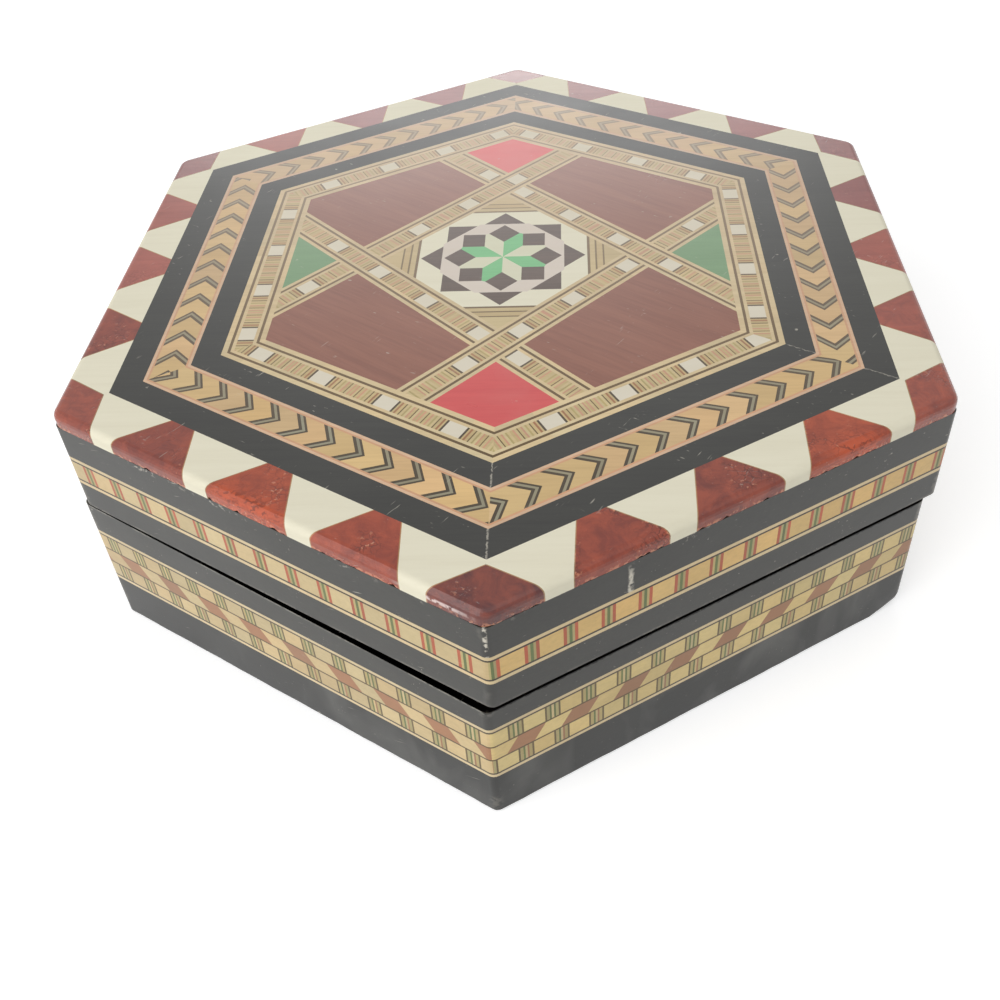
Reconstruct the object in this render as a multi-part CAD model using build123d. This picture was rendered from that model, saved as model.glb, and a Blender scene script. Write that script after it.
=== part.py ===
from build123d import *
import math
import os

os.makedirs("parts", exist_ok=True)

# A hexagonal wooden trinket box covered in marquetry, with a hinged lid. Millimetres.
# The box stands on its floor at z = 0 with one corner to the front (-Y) and one to the back.
# Every hexagon here is given by its inradius: the distance from the centre to a flat side.

# Overall size of the closed box
LID_RADIUS = 70.0         # centre of the lid to one of its corners
BOX_HEIGHT = 42.0
LID_SHARE = 5 / 12        # of the box's height, from the lid's rim up to its top face
BASE_INSET = 0.35         # the base is this much narrower than the lid on each side
BASE_SHIFT = -0.8         # and sits this far to the left under it
REAR_GAP = 0.12           # between the two rims, on the hinge half
FRONT_GAP = 1.4           # and at the front right side, where the rim is rubbed low
CORNER_ROUND = 1.3        # upright corners
TOP_ROUND = 1.1           # edge of the top face
FOOT_BEVEL = 0.6          # edge of the foot

# Boards of the carcass
BOARD = 5.0               # thickness of the wall boards
FLOOR = 3.5
FLOOR_REBATE = 2.5        # how far the floor reaches under the walls
FLOOR_RAISE = 0.4         # the floor stays this far off the table
FLOOR_PLAY = 0.1          # each side, between the floor and its rebate
TOP_BOARD = 3.5

# Slips glued on the outside of the walls
SLIP = 1.6                # thickness of every slip
LID_INLAY = 5.1           # heights of the two inlays
BASE_INLAY = 10.6
LID_BLACK_SHARE = 0.54    # of the lid's black that is above its inlay
BASE_BLACK_SHARE = 0.61   # of the base's black that is below its inlay

# Marquetry of the top, from the edge inwards
BORDER_THICKNESS = 2.4    # the tapered border pieces show on the side too
INLAY_THICKNESS = 1.4     # everything inside them
BORDER = 7.0
OUTER_BLACK = 4.1
ARROW_BAND = 5.9
INNER_BLACK = 3.8
FRAME_BAND = 5.8

# Border: bone and brown pieces that taper opposite ways
BORDER_SHARE = 0.2414     # of a side's length, from one bone piece to the next
BONE_PER_SIDE = 4
BONE_OUTER_SHARE = 0.222  # of that pitch: width of a bone piece at the edge of the lid
BONE_INNER_SHARE = 0.746  # and at its inner end

# Arrow band: maple between V-shaped slips, with a stringing each side
ARROW_STRING = 0.7
ARROW_PITCH = 4.68
ARROW_SLIP = 1.55         # length of one V-shaped slip along the band

# Ladder bands: bone tesserae set in a strip
TESSERA_LENGTH = 2.8
TESSERA_WIDTH = 2.35
TESSERA_PITCH = 11.05
TESSERAE_PER_SIDE = 4
CROSS_BAND = 5.4          # width of the four woven bands
SMALLEST = 0.05           # square millimetres: a crumb of veneer left out at a mitre

# Rosette: an eight-pointed star, squares, rhombi and triangles in an octagon
ROSETTE_FLATS = 26.4      # across the flats of the octagon
ROSETTE_X = -0.4          # centre of the rosette and of the four woven bands
ROSETTE_Y = 0.6
SQUARE_SIDE = 3.5
SQUARE_OUT = 6.75         # centre of a square to the centre of the rosette
RING_FLATS = 19.2         # across the flats of the octagon round the squares
TRIANGLE_HEIGHT = 3.3

# Hinges: two small brass butt hinges let into the rims of the back left side
HINGE_SPACING = 36.0
HINGE_LENGTH = 14.0
HINGE_INSET = 1.5         # hinge pin to the outer face of the lid
LEAF_DEPTH = 4.2          # from the pin into the wall
LEAF = 0.6                # thickness of the leaves
KNUCKLE_RADIUS = 1.2
MIDDLE_KNUCKLE = 5.0      # length of the lid's knuckle
KNUCKLE_PLAY = 0.15       # between knuckles, end to end and round them
BARREL_PLAY = 0.3         # between the barrel and the wood
PIN_RADIUS = 0.5
PIN_PLAY = 0.05
MORTISE_PLAY = 0.1
BRAD = 0.8                # square brads, filed flush with the leaves
BRAD_LENGTH = 4.0
BRAD_PLAY = 0.03
STOP_BEVEL = 54.0         # degrees: the bevelled back edges of both rims meet at twice this

# Each side by the angle that it faces, counterclockwise from +X
SIDE_NAMES = ("right", "back_right", "back_left", "left", "front_left", "front_right")
SIDES = {name: 60 * k for k, name in enumerate(SIDE_NAMES)}
# Which way the arrows point along each side, counterclockwise or clockwise, and where
# the point of the arrow nearest the middle of the side is
ARROWS = {"right": (-1, -1.25), "back_right": (1, -0.3), "back_left": (-1, -1.9),
          "left": (-1, -1.9), "front_left": (1, -1.3), "front_right": (1, -0.9)}
# Where the first bone tessera of each side of the frame sits, from the side's middle
FIRST_TESSERA = {"right": -15.3, "back_right": -15.3, "back_left": -18.4,
                 "left": -15.0, "front_left": -17.9, "front_right": -12.7}
# Where the tesserae sit along the four woven bands. The bands go round the rosette
# counterclockwise, and each one passes under the next and over the one before.
CROSS_TESSERAE = {"front_left": (-21.9, -11.0, 0.2, 12.1, 20.4),
                  "front_right": (-21.9, -11.3, -0.5, 11.3, 27.0),
                  "back_right": (-20.6, -9.9, 0.9, 11.9, 20.6),
                  "back_left": (-18.1, -7.0, 3.8, 26.0)}
CROSS_BANDS = {name: 90 * k + 225 for k, name in enumerate(CROSS_TESSERAE)}
HINGE_SIDE = SIDES["back_left"]

# Lengths worked out from those above
HALF_TURN = math.tan(math.radians(30))       # half a side of a hexagon of inradius 1
LID_HEIGHT = BOX_HEIGHT * LID_SHARE
LID_INRADIUS = LID_RADIUS * math.cos(math.radians(30))
BASE_INRADIUS = LID_INRADIUS - BASE_INSET
LID_CENTRE = (0.0, 0.0)
BASE_CENTRE = (BASE_SHIFT, 0.0)
ROSETTE_CENTRE = (ROSETTE_X, ROSETTE_Y)
LID_RIM = BOX_HEIGHT - LID_HEIGHT
BASE_RIM = LID_RIM - REAR_GAP
FLOOR_TOP = FLOOR_RAISE + FLOOR
BORDER_LOW = BOX_HEIGHT - BORDER_THICKNESS
LID_UPPER_BLACK = (BORDER_LOW - LID_RIM - LID_INLAY) * LID_BLACK_SHARE
BASE_LOWER_BLACK = (BASE_RIM - BASE_INLAY) * BASE_BLACK_SHARE
BORDER_PITCH = LID_RADIUS * BORDER_SHARE
BONE_OUTER = BORDER_PITCH * BONE_OUTER_SHARE
BONE_INNER = BORDER_PITCH * BONE_INNER_SHARE
INLAY_LOW = BOX_HEIGHT - INLAY_THICKNESS
TOP_BOARD_LOW = BORDER_LOW - TOP_BOARD
BORDER_INNER = LID_INRADIUS - BORDER
OUTER_BLACK_INNER = BORDER_INNER - OUTER_BLACK
ARROW_INNER = OUTER_BLACK_INNER - ARROW_BAND
INNER_BLACK_INNER = ARROW_INNER - INNER_BLACK
FRAME_INNER = INNER_BLACK_INNER - FRAME_BAND
OCTAGON = ROSETTE_FLATS / 2
RING = RING_FLATS / 2
CROSS_OUTER = OCTAGON + CROSS_BAND
AXIS_OUT = LID_INRADIUS - HINGE_INSET
AXIS_Z = LID_RIM - REAR_GAP / 2
BEYOND = 2 * LID_RADIUS                      # long enough to cut right through anything


def spot(along, out, angle, z=0.0, centre=LID_CENTRE):
    """A point given by its distance along a side and its distance out from the centre."""
    turn = math.radians(angle)
    x = out * math.cos(turn) - along * math.sin(turn)
    y = out * math.sin(turn) + along * math.cos(turn)
    return Vector(centre[0] + x, centre[1] + y, z)


def flat(plan, angle=0, centre=LID_CENTRE, z=0.0):
    """A flat face from (along, out) points on the side that faces this angle."""
    points = [spot(along, out, angle, z, centre) for along, out in plan]
    return Face(Wire.make_polygon(points))


def raised(face, low, high):
    """A face of the plan at z = 0, made into a solid between two heights."""
    return Solid.extrude(Pos(0, 0, low) * face, Vector(0, 0, high - low))


def prism(plan, angle, low, high, centre=LID_CENTRE):
    return raised(flat(plan, angle, centre), low, high)


def polygon(inradius, sides, centre=LID_CENTRE):
    """A regular polygon's face with a flat side towards +X."""
    half = inradius * math.tan(math.pi / sides)
    corners = [spot(half, inradius, 360 / sides * k, 0, centre) for k in range(sides)]
    return Face(Wire.make_polygon(corners))


def mitred_plan(outer, inner):
    """Plan of one of six strips that meet at mitres."""
    a, b = outer * HALF_TURN, inner * HALF_TURN
    return [(-a, outer), (a, outer), (b, inner), (-b, inner)]


def mitred(angle, outer, inner, low, high, centre=LID_CENTRE):
    return prism(mitred_plan(outer, inner), angle, low, high, centre)


def pieces(shape):
    """The solids of whatever a cut or an overlap has left."""
    if isinstance(shape, (list, tuple)):
        return [solid for item in shape for solid in item.solids()]
    return list(shape.solids())


def faces_of(shape):
    if isinstance(shape, (list, tuple)):
        return [face for item in shape for face in item.faces()]
    return list(shape.faces())


def save(name, solids):
    """One STEP file for one named piece, or for a group of like pieces."""
    solids = list(solids)
    shape = solids[0] if len(solids) == 1 else Compound(children=solids)
    shape.label = name
    export_step(shape, f"parts/{name}.step")
    print(name, len(solids), round(sum(solid.volume for solid in solids), 2))


def rounded_block(inradius, low, high, centre):
    """A hexagonal block with rounded upright corners."""
    block = raised(polygon(inradius, 6, centre), low, high)
    return pieces(fillet(block.edges().filter_by(Axis.Z), CORNER_ROUND))[0]


def edges_at(block, height):
    return [edge for edge in block.edges() if abs(edge.center().Z - height) < 1e-6]


LID_BLOCK = rounded_block(LID_INRADIUS, LID_RIM, BOX_HEIGHT, LID_CENTRE)
LID_SHAPE = pieces(fillet(edges_at(LID_BLOCK, BOX_HEIGHT), TOP_ROUND))[0]
BASE_BLOCK = rounded_block(BASE_INRADIUS, 0, BASE_RIM, BASE_CENTRE)
BASE_SHAPE = pieces(chamfer(edges_at(BASE_BLOCK, 0), FOOT_BEVEL))[0]


def upright_section(section, angle, length):
    """A bar along a side, from (out, z) points of its cross-section."""
    start = -length / 2
    points = [spot(start, out, angle, z) for out, z in section]
    return Solid.extrude(Face(Wire.make_polygon(points)), spot(length, 0, angle))


def rubbed_rim():
    """The wedge of wood that wear has taken off the base's rim towards the front right."""
    fall = (FRONT_GAP - REAR_GAP) / BASE_INRADIUS
    section = [(0, BASE_RIM), (BEYOND, BASE_RIM), (BEYOND, BASE_RIM - fall * BEYOND)]
    return upright_section(section, SIDES["front_right"], 2 * BEYOND)


def bevelled_back():
    """The groove left between both rims by their bevelled back edges, which stop the lid."""
    reach = 2 * HINGE_INSET
    rise = reach * math.tan(math.radians(STOP_BEVEL))
    section = [(AXIS_OUT, AXIS_Z), (AXIS_OUT + reach, AXIS_Z + rise),
               (AXIS_OUT + reach, AXIS_Z - rise)]
    return upright_section(section, HINGE_SIDE, BEYOND)


def rod(radius, start, end):
    """A round bar on the hinge axis between two places along the side."""
    along = spot(1, 0, HINGE_SIDE)
    plane = Plane(origin=spot(start, AXIS_OUT, HINGE_SIDE, AXIS_Z), z_dir=along)
    return Solid.make_cylinder(radius, end - start, plane)


def hinge_middles():
    return [-HINGE_SPACING / 2, HINGE_SPACING / 2]


def brad_places():
    """Where the brads of the hinges stand, two to a leaf."""
    out = AXIS_OUT - (KNUCKLE_RADIUS + BARREL_PLAY + LEAF_DEPTH) / 2
    for middle in hinge_middles():
        for side in (-1, 1):
            yield middle + side * HINGE_LENGTH / 4, out


def brad(along, out, height, way, play=0.0):
    """One square brad with its head at a height, pointing up (1) or down (-1)."""
    half = BRAD / 2 + play
    plan = [(along - half, out + half), (along + half, out + half),
            (along + half, out - half), (along - half, out - half)]
    low, high = sorted((height, height + way * (BRAD_LENGTH + play)))
    return prism(plan, HINGE_SIDE, low, high)


def hinge_recesses(rim, way):
    """What is cut from a wall and its slips for the hinges: barrel gains, mortises, holes."""
    cuts = []
    reach = HINGE_LENGTH / 2 + BARREL_PLAY
    for middle in hinge_middles():
        cuts.append(rod(KNUCKLE_RADIUS + BARREL_PLAY, middle - reach, middle + reach))
        half = HINGE_LENGTH / 2 + MORTISE_PLAY
        plan = [(middle - half, AXIS_OUT), (middle + half, AXIS_OUT),
                (middle + half, AXIS_OUT - LEAF_DEPTH - MORTISE_PLAY),
                (middle - half, AXIS_OUT - LEAF_DEPTH - MORTISE_PLAY)]
        low, high = sorted((rim - way * REAR_GAP, rim + way * LEAF))
        cuts.append(prism(plan, HINGE_SIDE, low, high))
    for along, out in brad_places():
        cuts.append(brad(along, out, rim, way, BRAD_PLAY))
    return cuts


def cut_all(solid, cuts):
    for cut in cuts:
        solid = pieces(solid - cut)[0]
    return solid


RUBBED = rubbed_rim()
BEVEL = bevelled_back()
BASE_RECESSES = hinge_recesses(BASE_RIM, -1)
LID_RECESSES = hinge_recesses(LID_RIM, 1)


def base_rim_cuts(angle):
    return [RUBBED, BEVEL] + (BASE_RECESSES if angle == HINGE_SIDE else [])


def lid_rim_cuts(angle):
    return [BEVEL] + (LID_RECESSES if angle == HINGE_SIDE else [])


def base_wall(angle):
    """A mitred wall board of the base, rebated underneath for the floor."""
    outer = BASE_INRADIUS - SLIP
    inner = outer - BOARD
    foot = mitred(angle, outer, inner + FLOOR_REBATE, 0, FLOOR_TOP, BASE_CENTRE)
    wall = mitred(angle, outer, inner, FLOOR_TOP, BASE_RIM, BASE_CENTRE)
    return cut_all(pieces(foot + wall)[0], base_rim_cuts(angle))


def base_floor():
    inradius = BASE_INRADIUS - SLIP - BOARD + FLOOR_REBATE - FLOOR_PLAY
    return raised(polygon(inradius, 6, BASE_CENTRE), FLOOR_RAISE, FLOOR_TOP)


def base_slips(low, high, cut_rim=False):
    """Six mitred slips round the base."""
    slips = []
    for angle in SIDES.values():
        slip = mitred(angle, BASE_INRADIUS, BASE_INRADIUS - SLIP, low, high, BASE_CENTRE)
        slip = pieces(slip & BASE_SHAPE)[0]
        slips.append(cut_all(slip, base_rim_cuts(angle)) if cut_rim else slip)
    return slips


def lid_wall(angle):
    outer = LID_INRADIUS - SLIP
    wall = mitred(angle, outer, outer - BOARD, LID_RIM, TOP_BOARD_LOW)
    return cut_all(wall, lid_rim_cuts(angle))


def lid_slips(low, high, cut_rim=False):
    """Six mitred slips round the lid."""
    slips = []
    for angle in SIDES.values():
        slip = mitred(angle, LID_INRADIUS, LID_INRADIUS - SLIP, low, high)
        slip = pieces(slip & LID_SHAPE)[0]
        slips.append(cut_all(slip, lid_rim_cuts(angle)) if cut_rim else slip)
    return slips


def lid_top_board():
    """The board under the marquetry, lower round its edge for the thicker border pieces."""
    ledge = raised(polygon(LID_INRADIUS - SLIP, 6), TOP_BOARD_LOW, BORDER_LOW)
    plateau = raised(polygon(BORDER_INNER, 6), BORDER_LOW, INLAY_LOW)
    return pieces(ledge + plateau)[0]


def border_face(angle):
    """Plan of the border on one side, between the mitres."""
    return flat(mitred_plan(LID_INRADIUS, BORDER_INNER), angle)


def bone_middles():
    first = -BORDER_PITCH * (BONE_PER_SIDE - 1) / 2
    return [first + BORDER_PITCH * k for k in range(BONE_PER_SIDE)]


def bone_plan(middle):
    return [(middle - BONE_OUTER / 2, LID_INRADIUS), (middle + BONE_OUTER / 2, LID_INRADIUS),
            (middle + BONE_INNER / 2, BORDER_INNER), (middle - BONE_INNER / 2, BORDER_INNER)]


def brown_plan(before, after):
    return [(before + BONE_OUTER / 2, LID_INRADIUS), (after - BONE_OUTER / 2, LID_INRADIUS),
            (after - BONE_INNER / 2, BORDER_INNER), (before + BONE_INNER / 2, BORDER_INNER)]


def border_piece(face):
    """A border piece with the lid's rounded outer edge on it."""
    return pieces(raised(face, BORDER_LOW, BOX_HEIGHT) & LID_SHAPE)[0]


def border_bone():
    found = []
    for angle in SIDES.values():
        for middle in bone_middles():
            face = faces_of(flat(bone_plan(middle), angle) & border_face(angle))[0]
            found.append(border_piece(face))
    return found


def border_brown():
    found = []
    for angle in SIDES.values():
        middles = bone_middles()
        for before, after in zip(middles, middles[1:]):
            found.append(border_piece(flat(brown_plan(before, after), angle)))
    return found


def border_corner(angle):
    """The brown piece that wraps the corner after the side that faces this angle."""
    last = bone_middles()[-1]
    outer_end = last + BONE_OUTER / 2
    inner_end = last + BONE_INNER / 2
    slope = (inner_end - outer_end) / BORDER
    # where the bone's slanting edge meets the mitre, out from the border's inner edge
    meet = (inner_end - BORDER_INNER * HALF_TURN) / (slope + HALF_TURN)
    tip_out = BORDER_INNER + max(meet, 0)
    half = LID_INRADIUS * HALF_TURN
    points = [spot(tip_out * HALF_TURN, tip_out, angle),
              spot(outer_end, LID_INRADIUS, angle),
              spot(half, LID_INRADIUS, angle),
              spot(-outer_end, LID_INRADIUS, angle + 60)]
    return border_piece(Face(Wire.make_polygon(points)))


def band(outer, inner):
    """Six mitred strips of the top marquetry."""
    return [mitred(angle, outer, inner, INLAY_LOW, BOX_HEIGHT) for angle in SIDES.values()]


def arrow_plan(tip, length, way, outer, inner):
    """A V-shaped slip with its point at this place, and arms at 45 degrees."""
    middle = (outer + inner) / 2
    half = (outer - inner) / 2
    tail = tip - way * length
    back = tip - way * half
    return [(tip, middle), (back, outer), (back - way * length, outer),
            (tail, middle), (back - way * length, inner), (back, inner)]


def arrow_tips(tip, outer):
    """Where the arrows of one side have their points, as many as the side takes."""
    count = math.ceil((outer * HALF_TURN + ARROW_BAND) / ARROW_PITCH)
    return [tip + ARROW_PITCH * k for k in range(-count, count + 1)]


def arrow_pieces():
    """The V-shaped slips of the arrow band, and the maple between them."""
    outer = OUTER_BLACK_INNER - ARROW_STRING
    inner = ARROW_INNER + ARROW_STRING
    arrows, fields = [], []
    for name, angle in SIDES.items():
        way, middle_tip = ARROWS[name]
        strip = flat(mitred_plan(outer, inner), angle)
        gap = ARROW_PITCH - ARROW_SLIP
        for tip in arrow_tips(middle_tip, outer):
            for length, place, kept in ((ARROW_SLIP, tip, arrows),
                                        (gap, tip - way * ARROW_SLIP, fields)):
                plan = flat(arrow_plan(place, length, way, outer, inner), angle)
                overlap = plan & strip
                if overlap is not None:
                    kept.extend(raised(face, INLAY_LOW, BOX_HEIGHT)
                                for face in faces_of(overlap) if face.area > SMALLEST)
    return arrows, fields


def tessera_plan(along, middle):
    half_length, half_width = TESSERA_LENGTH / 2, TESSERA_WIDTH / 2
    return [(along - half_length, middle + half_width), (along + half_length, middle + half_width),
            (along + half_length, middle - half_width), (along - half_length, middle - half_width)]


def strip_with_tesserae(strips, tesserae):
    """Strips with a pocket for each tessera, and the tesserae cut to what they keep."""
    kept, solids = [], []
    for strip in strips:
        for tessera in tesserae:
            overlap = strip & tessera
            if overlap is not None:
                kept.extend(face for face in faces_of(overlap) if face.area > SMALLEST)
    for strip in strips:
        for tessera in kept:
            strip = faces_of(strip - tessera)
            strip = max(strip, key=lambda face: face.area)
        solids.append(raised(strip, INLAY_LOW, BOX_HEIGHT))
    return solids, [raised(face, INLAY_LOW, BOX_HEIGHT) for face in kept]


def frame_band():
    """The ladder frame round the middle field, with its bone tesserae."""
    middle = (INNER_BLACK_INNER + FRAME_INNER) / 2
    strips, tesserae = [], []
    for name, angle in SIDES.items():
        places = [FIRST_TESSERA[name] + TESSERA_PITCH * k for k in range(TESSERAE_PER_SIDE)]
        side_tesserae = [flat(tessera_plan(along, middle), angle) for along in places]
        side, bones = strip_with_tesserae(
            [flat(mitred_plan(INNER_BLACK_INNER, FRAME_INNER), angle)], side_tesserae)
        strips.extend(side)
        tesserae.extend(bones)
    return strips, tesserae


def cross_face(angle):
    """A woven band's whole plan, before the frame and its neighbour cut it."""
    plan = [(-BEYOND, OCTAGON), (BEYOND, OCTAGON), (BEYOND, CROSS_OUTER), (-BEYOND, CROSS_OUTER)]
    return flat(plan, angle, ROSETTE_CENTRE)


def woven_band(name):
    """One of the four bands, cut where its neighbour passes over it."""
    angle = CROSS_BANDS[name]
    strip = cross_face(angle) & polygon(FRAME_INNER, 6)
    strips = faces_of(faces_of(strip)[0] - cross_face(angle + 90))
    strips = [face for face in strips if face.area > SMALLEST]
    middle = (OCTAGON + CROSS_OUTER) / 2
    tesserae = [flat(tessera_plan(along, middle), angle, ROSETTE_CENTRE)
                for along in CROSS_TESSERAE[name]]
    return strip_with_tesserae(strips, tesserae)


def middle_fields():
    """The flat areas that the four woven bands leave inside the frame."""
    field = polygon(FRAME_INNER, 6)
    left = [field]
    for angle in CROSS_BANDS.values():
        left = [part for face in left for part in faces_of(face - cross_face(angle))]
    return left


def field_towards(fields, angle):
    """The field whose middle lies nearest to a direction, outside the rosette."""
    def turn(face):
        middle = face.center() - Vector(*ROSETTE_CENTRE, 0)
        off = math.degrees(math.atan2(middle.Y, middle.X)) - angle
        return abs((off + 180) % 360 - 180)
    outside = [face for face in fields
               if (face.center() - Vector(*ROSETTE_CENTRE, 0)).length > OCTAGON]
    return raised(min(outside, key=turn), INLAY_LOW, BOX_HEIGHT)


def polar(radius, angle):
    """A point of the rosette."""
    turn = math.radians(angle)
    return Vector(ROSETTE_X + radius * math.cos(turn), ROSETTE_Y + radius * math.sin(turn), 0)


def rosette_tile(points):
    return raised(Face(Wire.make_polygon(points)), INLAY_LOW, BOX_HEIGHT)


def square_corner(angle, side):
    """The corner of a dark square that points to one side, seen from the middle."""
    half = SQUARE_SIDE / math.sqrt(2)
    radius = math.hypot(SQUARE_OUT, half)
    return polar(radius, angle + side * math.degrees(math.atan2(half, SQUARE_OUT)))


def star_point(angle):
    """A point of the star, between the squares on either side of it."""
    near = SQUARE_OUT - SQUARE_SIDE / math.sqrt(2)
    before, after = angle - 22.5, angle + 22.5
    return rosette_tile([polar(0, 0), polar(near, before), square_corner(before, 1),
                         square_corner(after, -1), polar(near, after)])


def dark_square(angle):
    half = SQUARE_SIDE / math.sqrt(2)
    return rosette_tile([polar(SQUARE_OUT - half, angle), square_corner(angle, 1),
                         polar(SQUARE_OUT + half, angle), square_corner(angle, -1)])


def ring_rhombus(angle):
    """A bone piece between two squares, out to the octagon round them."""
    far = SQUARE_OUT + SQUARE_SIDE / math.sqrt(2)
    before, after = angle - 22.5, angle + 22.5
    tip = RING / math.cos(math.radians(22.5))
    return rosette_tile([square_corner(before, 1), polar(far, before),
                         polar(RING, before), polar(tip, angle),
                         polar(RING, after), polar(far, after),
                         square_corner(after, -1)])


def triangle_end(angle, side):
    radius = math.hypot(RING, TRIANGLE_HEIGHT)
    return polar(radius, angle + side * math.degrees(math.atan2(TRIANGLE_HEIGHT, RING)))


def dark_triangle(angle):
    """A right-angled triangle that points outwards."""
    return rosette_tile([triangle_end(angle, -1), polar(RING + TRIANGLE_HEIGHT, angle),
                         triangle_end(angle, 1)])


def outer_rhombus(angle):
    """A bone piece between two triangles, out to the edge of the octagon."""
    before, after = angle - 22.5, angle + 22.5
    apex = RING + TRIANGLE_HEIGHT
    inner_tip = RING / math.cos(math.radians(22.5))
    outer_tip = OCTAGON / math.cos(math.radians(22.5))
    return rosette_tile([triangle_end(before, 1), polar(apex, before), polar(OCTAGON, before),
                         polar(outer_tip, angle), polar(OCTAGON, after), polar(apex, after),
                         triangle_end(after, -1), polar(inner_tip, angle)])


def rosette_corner(angle):
    """The striped triangle between the octagon and a crossing of two woven bands."""
    half = OCTAGON * math.tan(math.radians(22.5))
    plan = [(-half, OCTAGON), (half, OCTAGON), (0, OCTAGON * math.sqrt(2))]
    return raised(flat(plan, angle, ROSETTE_CENTRE), INLAY_LOW, BOX_HEIGHT)


def leaf_plate(middle, rim, way):
    """The flat of a hinge leaf, let into a rim."""
    half = HINGE_LENGTH / 2
    plan = [(middle - half, AXIS_OUT), (middle + half, AXIS_OUT),
            (middle + half, AXIS_OUT - LEAF_DEPTH), (middle - half, AXIS_OUT - LEAF_DEPTH)]
    low, high = sorted((rim, rim + way * LEAF))
    return prism(plan, HINGE_SIDE, low, high)


def outer_spans(middle, extra=0.0):
    """The two stretches of a hinge that hold the base's knuckles."""
    half, inner = HINGE_LENGTH / 2, MIDDLE_KNUCKLE / 2 + KNUCKLE_PLAY - extra
    return [(middle - half - extra, middle - inner), (middle + inner, middle + half + extra)]


def base_leaf(middle):
    """The lower leaf, with a knuckle at each end."""
    leaf = leaf_plate(middle, BASE_RIM, -1)
    for start, end in outer_spans(middle):
        leaf = pieces(leaf + rod(KNUCKLE_RADIUS, start, end))[0]
    reach = MIDDLE_KNUCKLE / 2 + KNUCKLE_PLAY
    notch = rod(KNUCKLE_RADIUS + KNUCKLE_PLAY, middle - reach, middle + reach)
    bore = rod(PIN_RADIUS + PIN_PLAY, middle - HINGE_LENGTH, middle + HINGE_LENGTH)
    holes = [brad(along, out, BASE_RIM, -1, BRAD_PLAY) for along, out in brad_places()
             if abs(along - middle) < HINGE_LENGTH]
    return cut_all(leaf, [notch, bore] + holes)


def lid_leaf(middle):
    """The upper leaf, with one knuckle in the middle."""
    leaf = leaf_plate(middle, LID_RIM, 1)
    half = MIDDLE_KNUCKLE / 2
    notches = [rod(KNUCKLE_RADIUS + KNUCKLE_PLAY, start, end)
               for start, end in outer_spans(middle, KNUCKLE_PLAY)]
    leaf = cut_all(leaf, notches)
    leaf = pieces(leaf + rod(KNUCKLE_RADIUS, middle - half, middle + half))[0]
    bore = rod(PIN_RADIUS + PIN_PLAY, middle - HINGE_LENGTH, middle + HINGE_LENGTH)
    holes = [brad(along, out, LID_RIM, 1, BRAD_PLAY) for along, out in brad_places()
             if abs(along - middle) < HINGE_LENGTH]
    return cut_all(leaf, [bore] + holes)


def hinge_pin(middle):
    half = HINGE_LENGTH / 2
    return rod(PIN_RADIUS, middle - half, middle + half)


def save_base():
    for name, angle in SIDES.items():
        save(f"base_wall_{name}", [base_wall(angle)])
    inlay_high = BASE_LOWER_BLACK + BASE_INLAY
    save("base_floor_panel", [base_floor()])
    save("base_lower_black_slips", base_slips(0, BASE_LOWER_BLACK))
    save("base_inlay_slips", base_slips(BASE_LOWER_BLACK, inlay_high))
    save("base_upper_black_slips", base_slips(inlay_high, BASE_RIM, cut_rim=True))


def save_lid_carcass():
    for name, angle in SIDES.items():
        save(f"lid_wall_{name}", [lid_wall(angle)])
    inlay_high = BORDER_LOW - LID_UPPER_BLACK
    inlay_low = inlay_high - LID_INLAY
    save("lid_top_board", [lid_top_board()])
    save("lid_upper_black_slips", lid_slips(inlay_high, BORDER_LOW))
    save("lid_inlay_slips", lid_slips(inlay_low, inlay_high))
    save("lid_lower_black_slips", lid_slips(LID_RIM, inlay_low, cut_rim=True))


def save_top_bands():
    save("border_bone_pieces", border_bone())
    save("border_brown_pieces", border_brown())
    save("border_corner_pieces", [border_corner(angle) for angle in SIDES.values()])
    save("outer_black_band", band(BORDER_INNER, OUTER_BLACK_INNER))
    save("arrow_outer_stringing", band(OUTER_BLACK_INNER, OUTER_BLACK_INNER - ARROW_STRING))
    save("arrow_inner_stringing", band(ARROW_INNER + ARROW_STRING, ARROW_INNER))
    arrows, fields = arrow_pieces()
    save("arrow_slips", arrows)
    save("arrow_maple_pieces", fields)
    save("inner_black_band", band(ARROW_INNER, INNER_BLACK_INNER))
    strips, tesserae = frame_band()
    save("frame_ladder_strips", strips)
    save("frame_bone_tesserae", tesserae)


def save_middle_field():
    tesserae = []
    for name in CROSS_BANDS:
        strips, bones = woven_band(name)
        save(f"woven_band_{name}", strips)
        tesserae.extend(bones)
    save("woven_bone_tesserae", tesserae)
    fields = middle_fields()
    for name, angle in CROSS_BANDS.items():
        save(f"brown_panel_{name}", [field_towards(fields, angle)])
    save("red_kite_front", [field_towards(fields, 270)])
    save("red_kite_back", [field_towards(fields, 90)])
    save("green_triangle_left", [field_towards(fields, 180)])
    save("green_triangle_right", [field_towards(fields, 0)])


def save_rosette():
    eighths = [45 * k for k in range(8)]
    save("star_green_points", [star_point(angle + 22.5) for angle in eighths[1::2]])
    save("star_bone_points", [star_point(angle + 22.5) for angle in eighths[0::2]])
    save("rosette_dark_squares", [dark_square(angle) for angle in eighths])
    save("rosette_bone_rhombi", [ring_rhombus(angle + 22.5) for angle in eighths])
    save("rosette_dark_triangles", [dark_triangle(angle) for angle in eighths])
    save("rosette_outer_rhombi", [outer_rhombus(angle + 22.5) for angle in eighths])
    save("rosette_corner_triangles", [rosette_corner(angle) for angle in eighths[0::2]])


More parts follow.
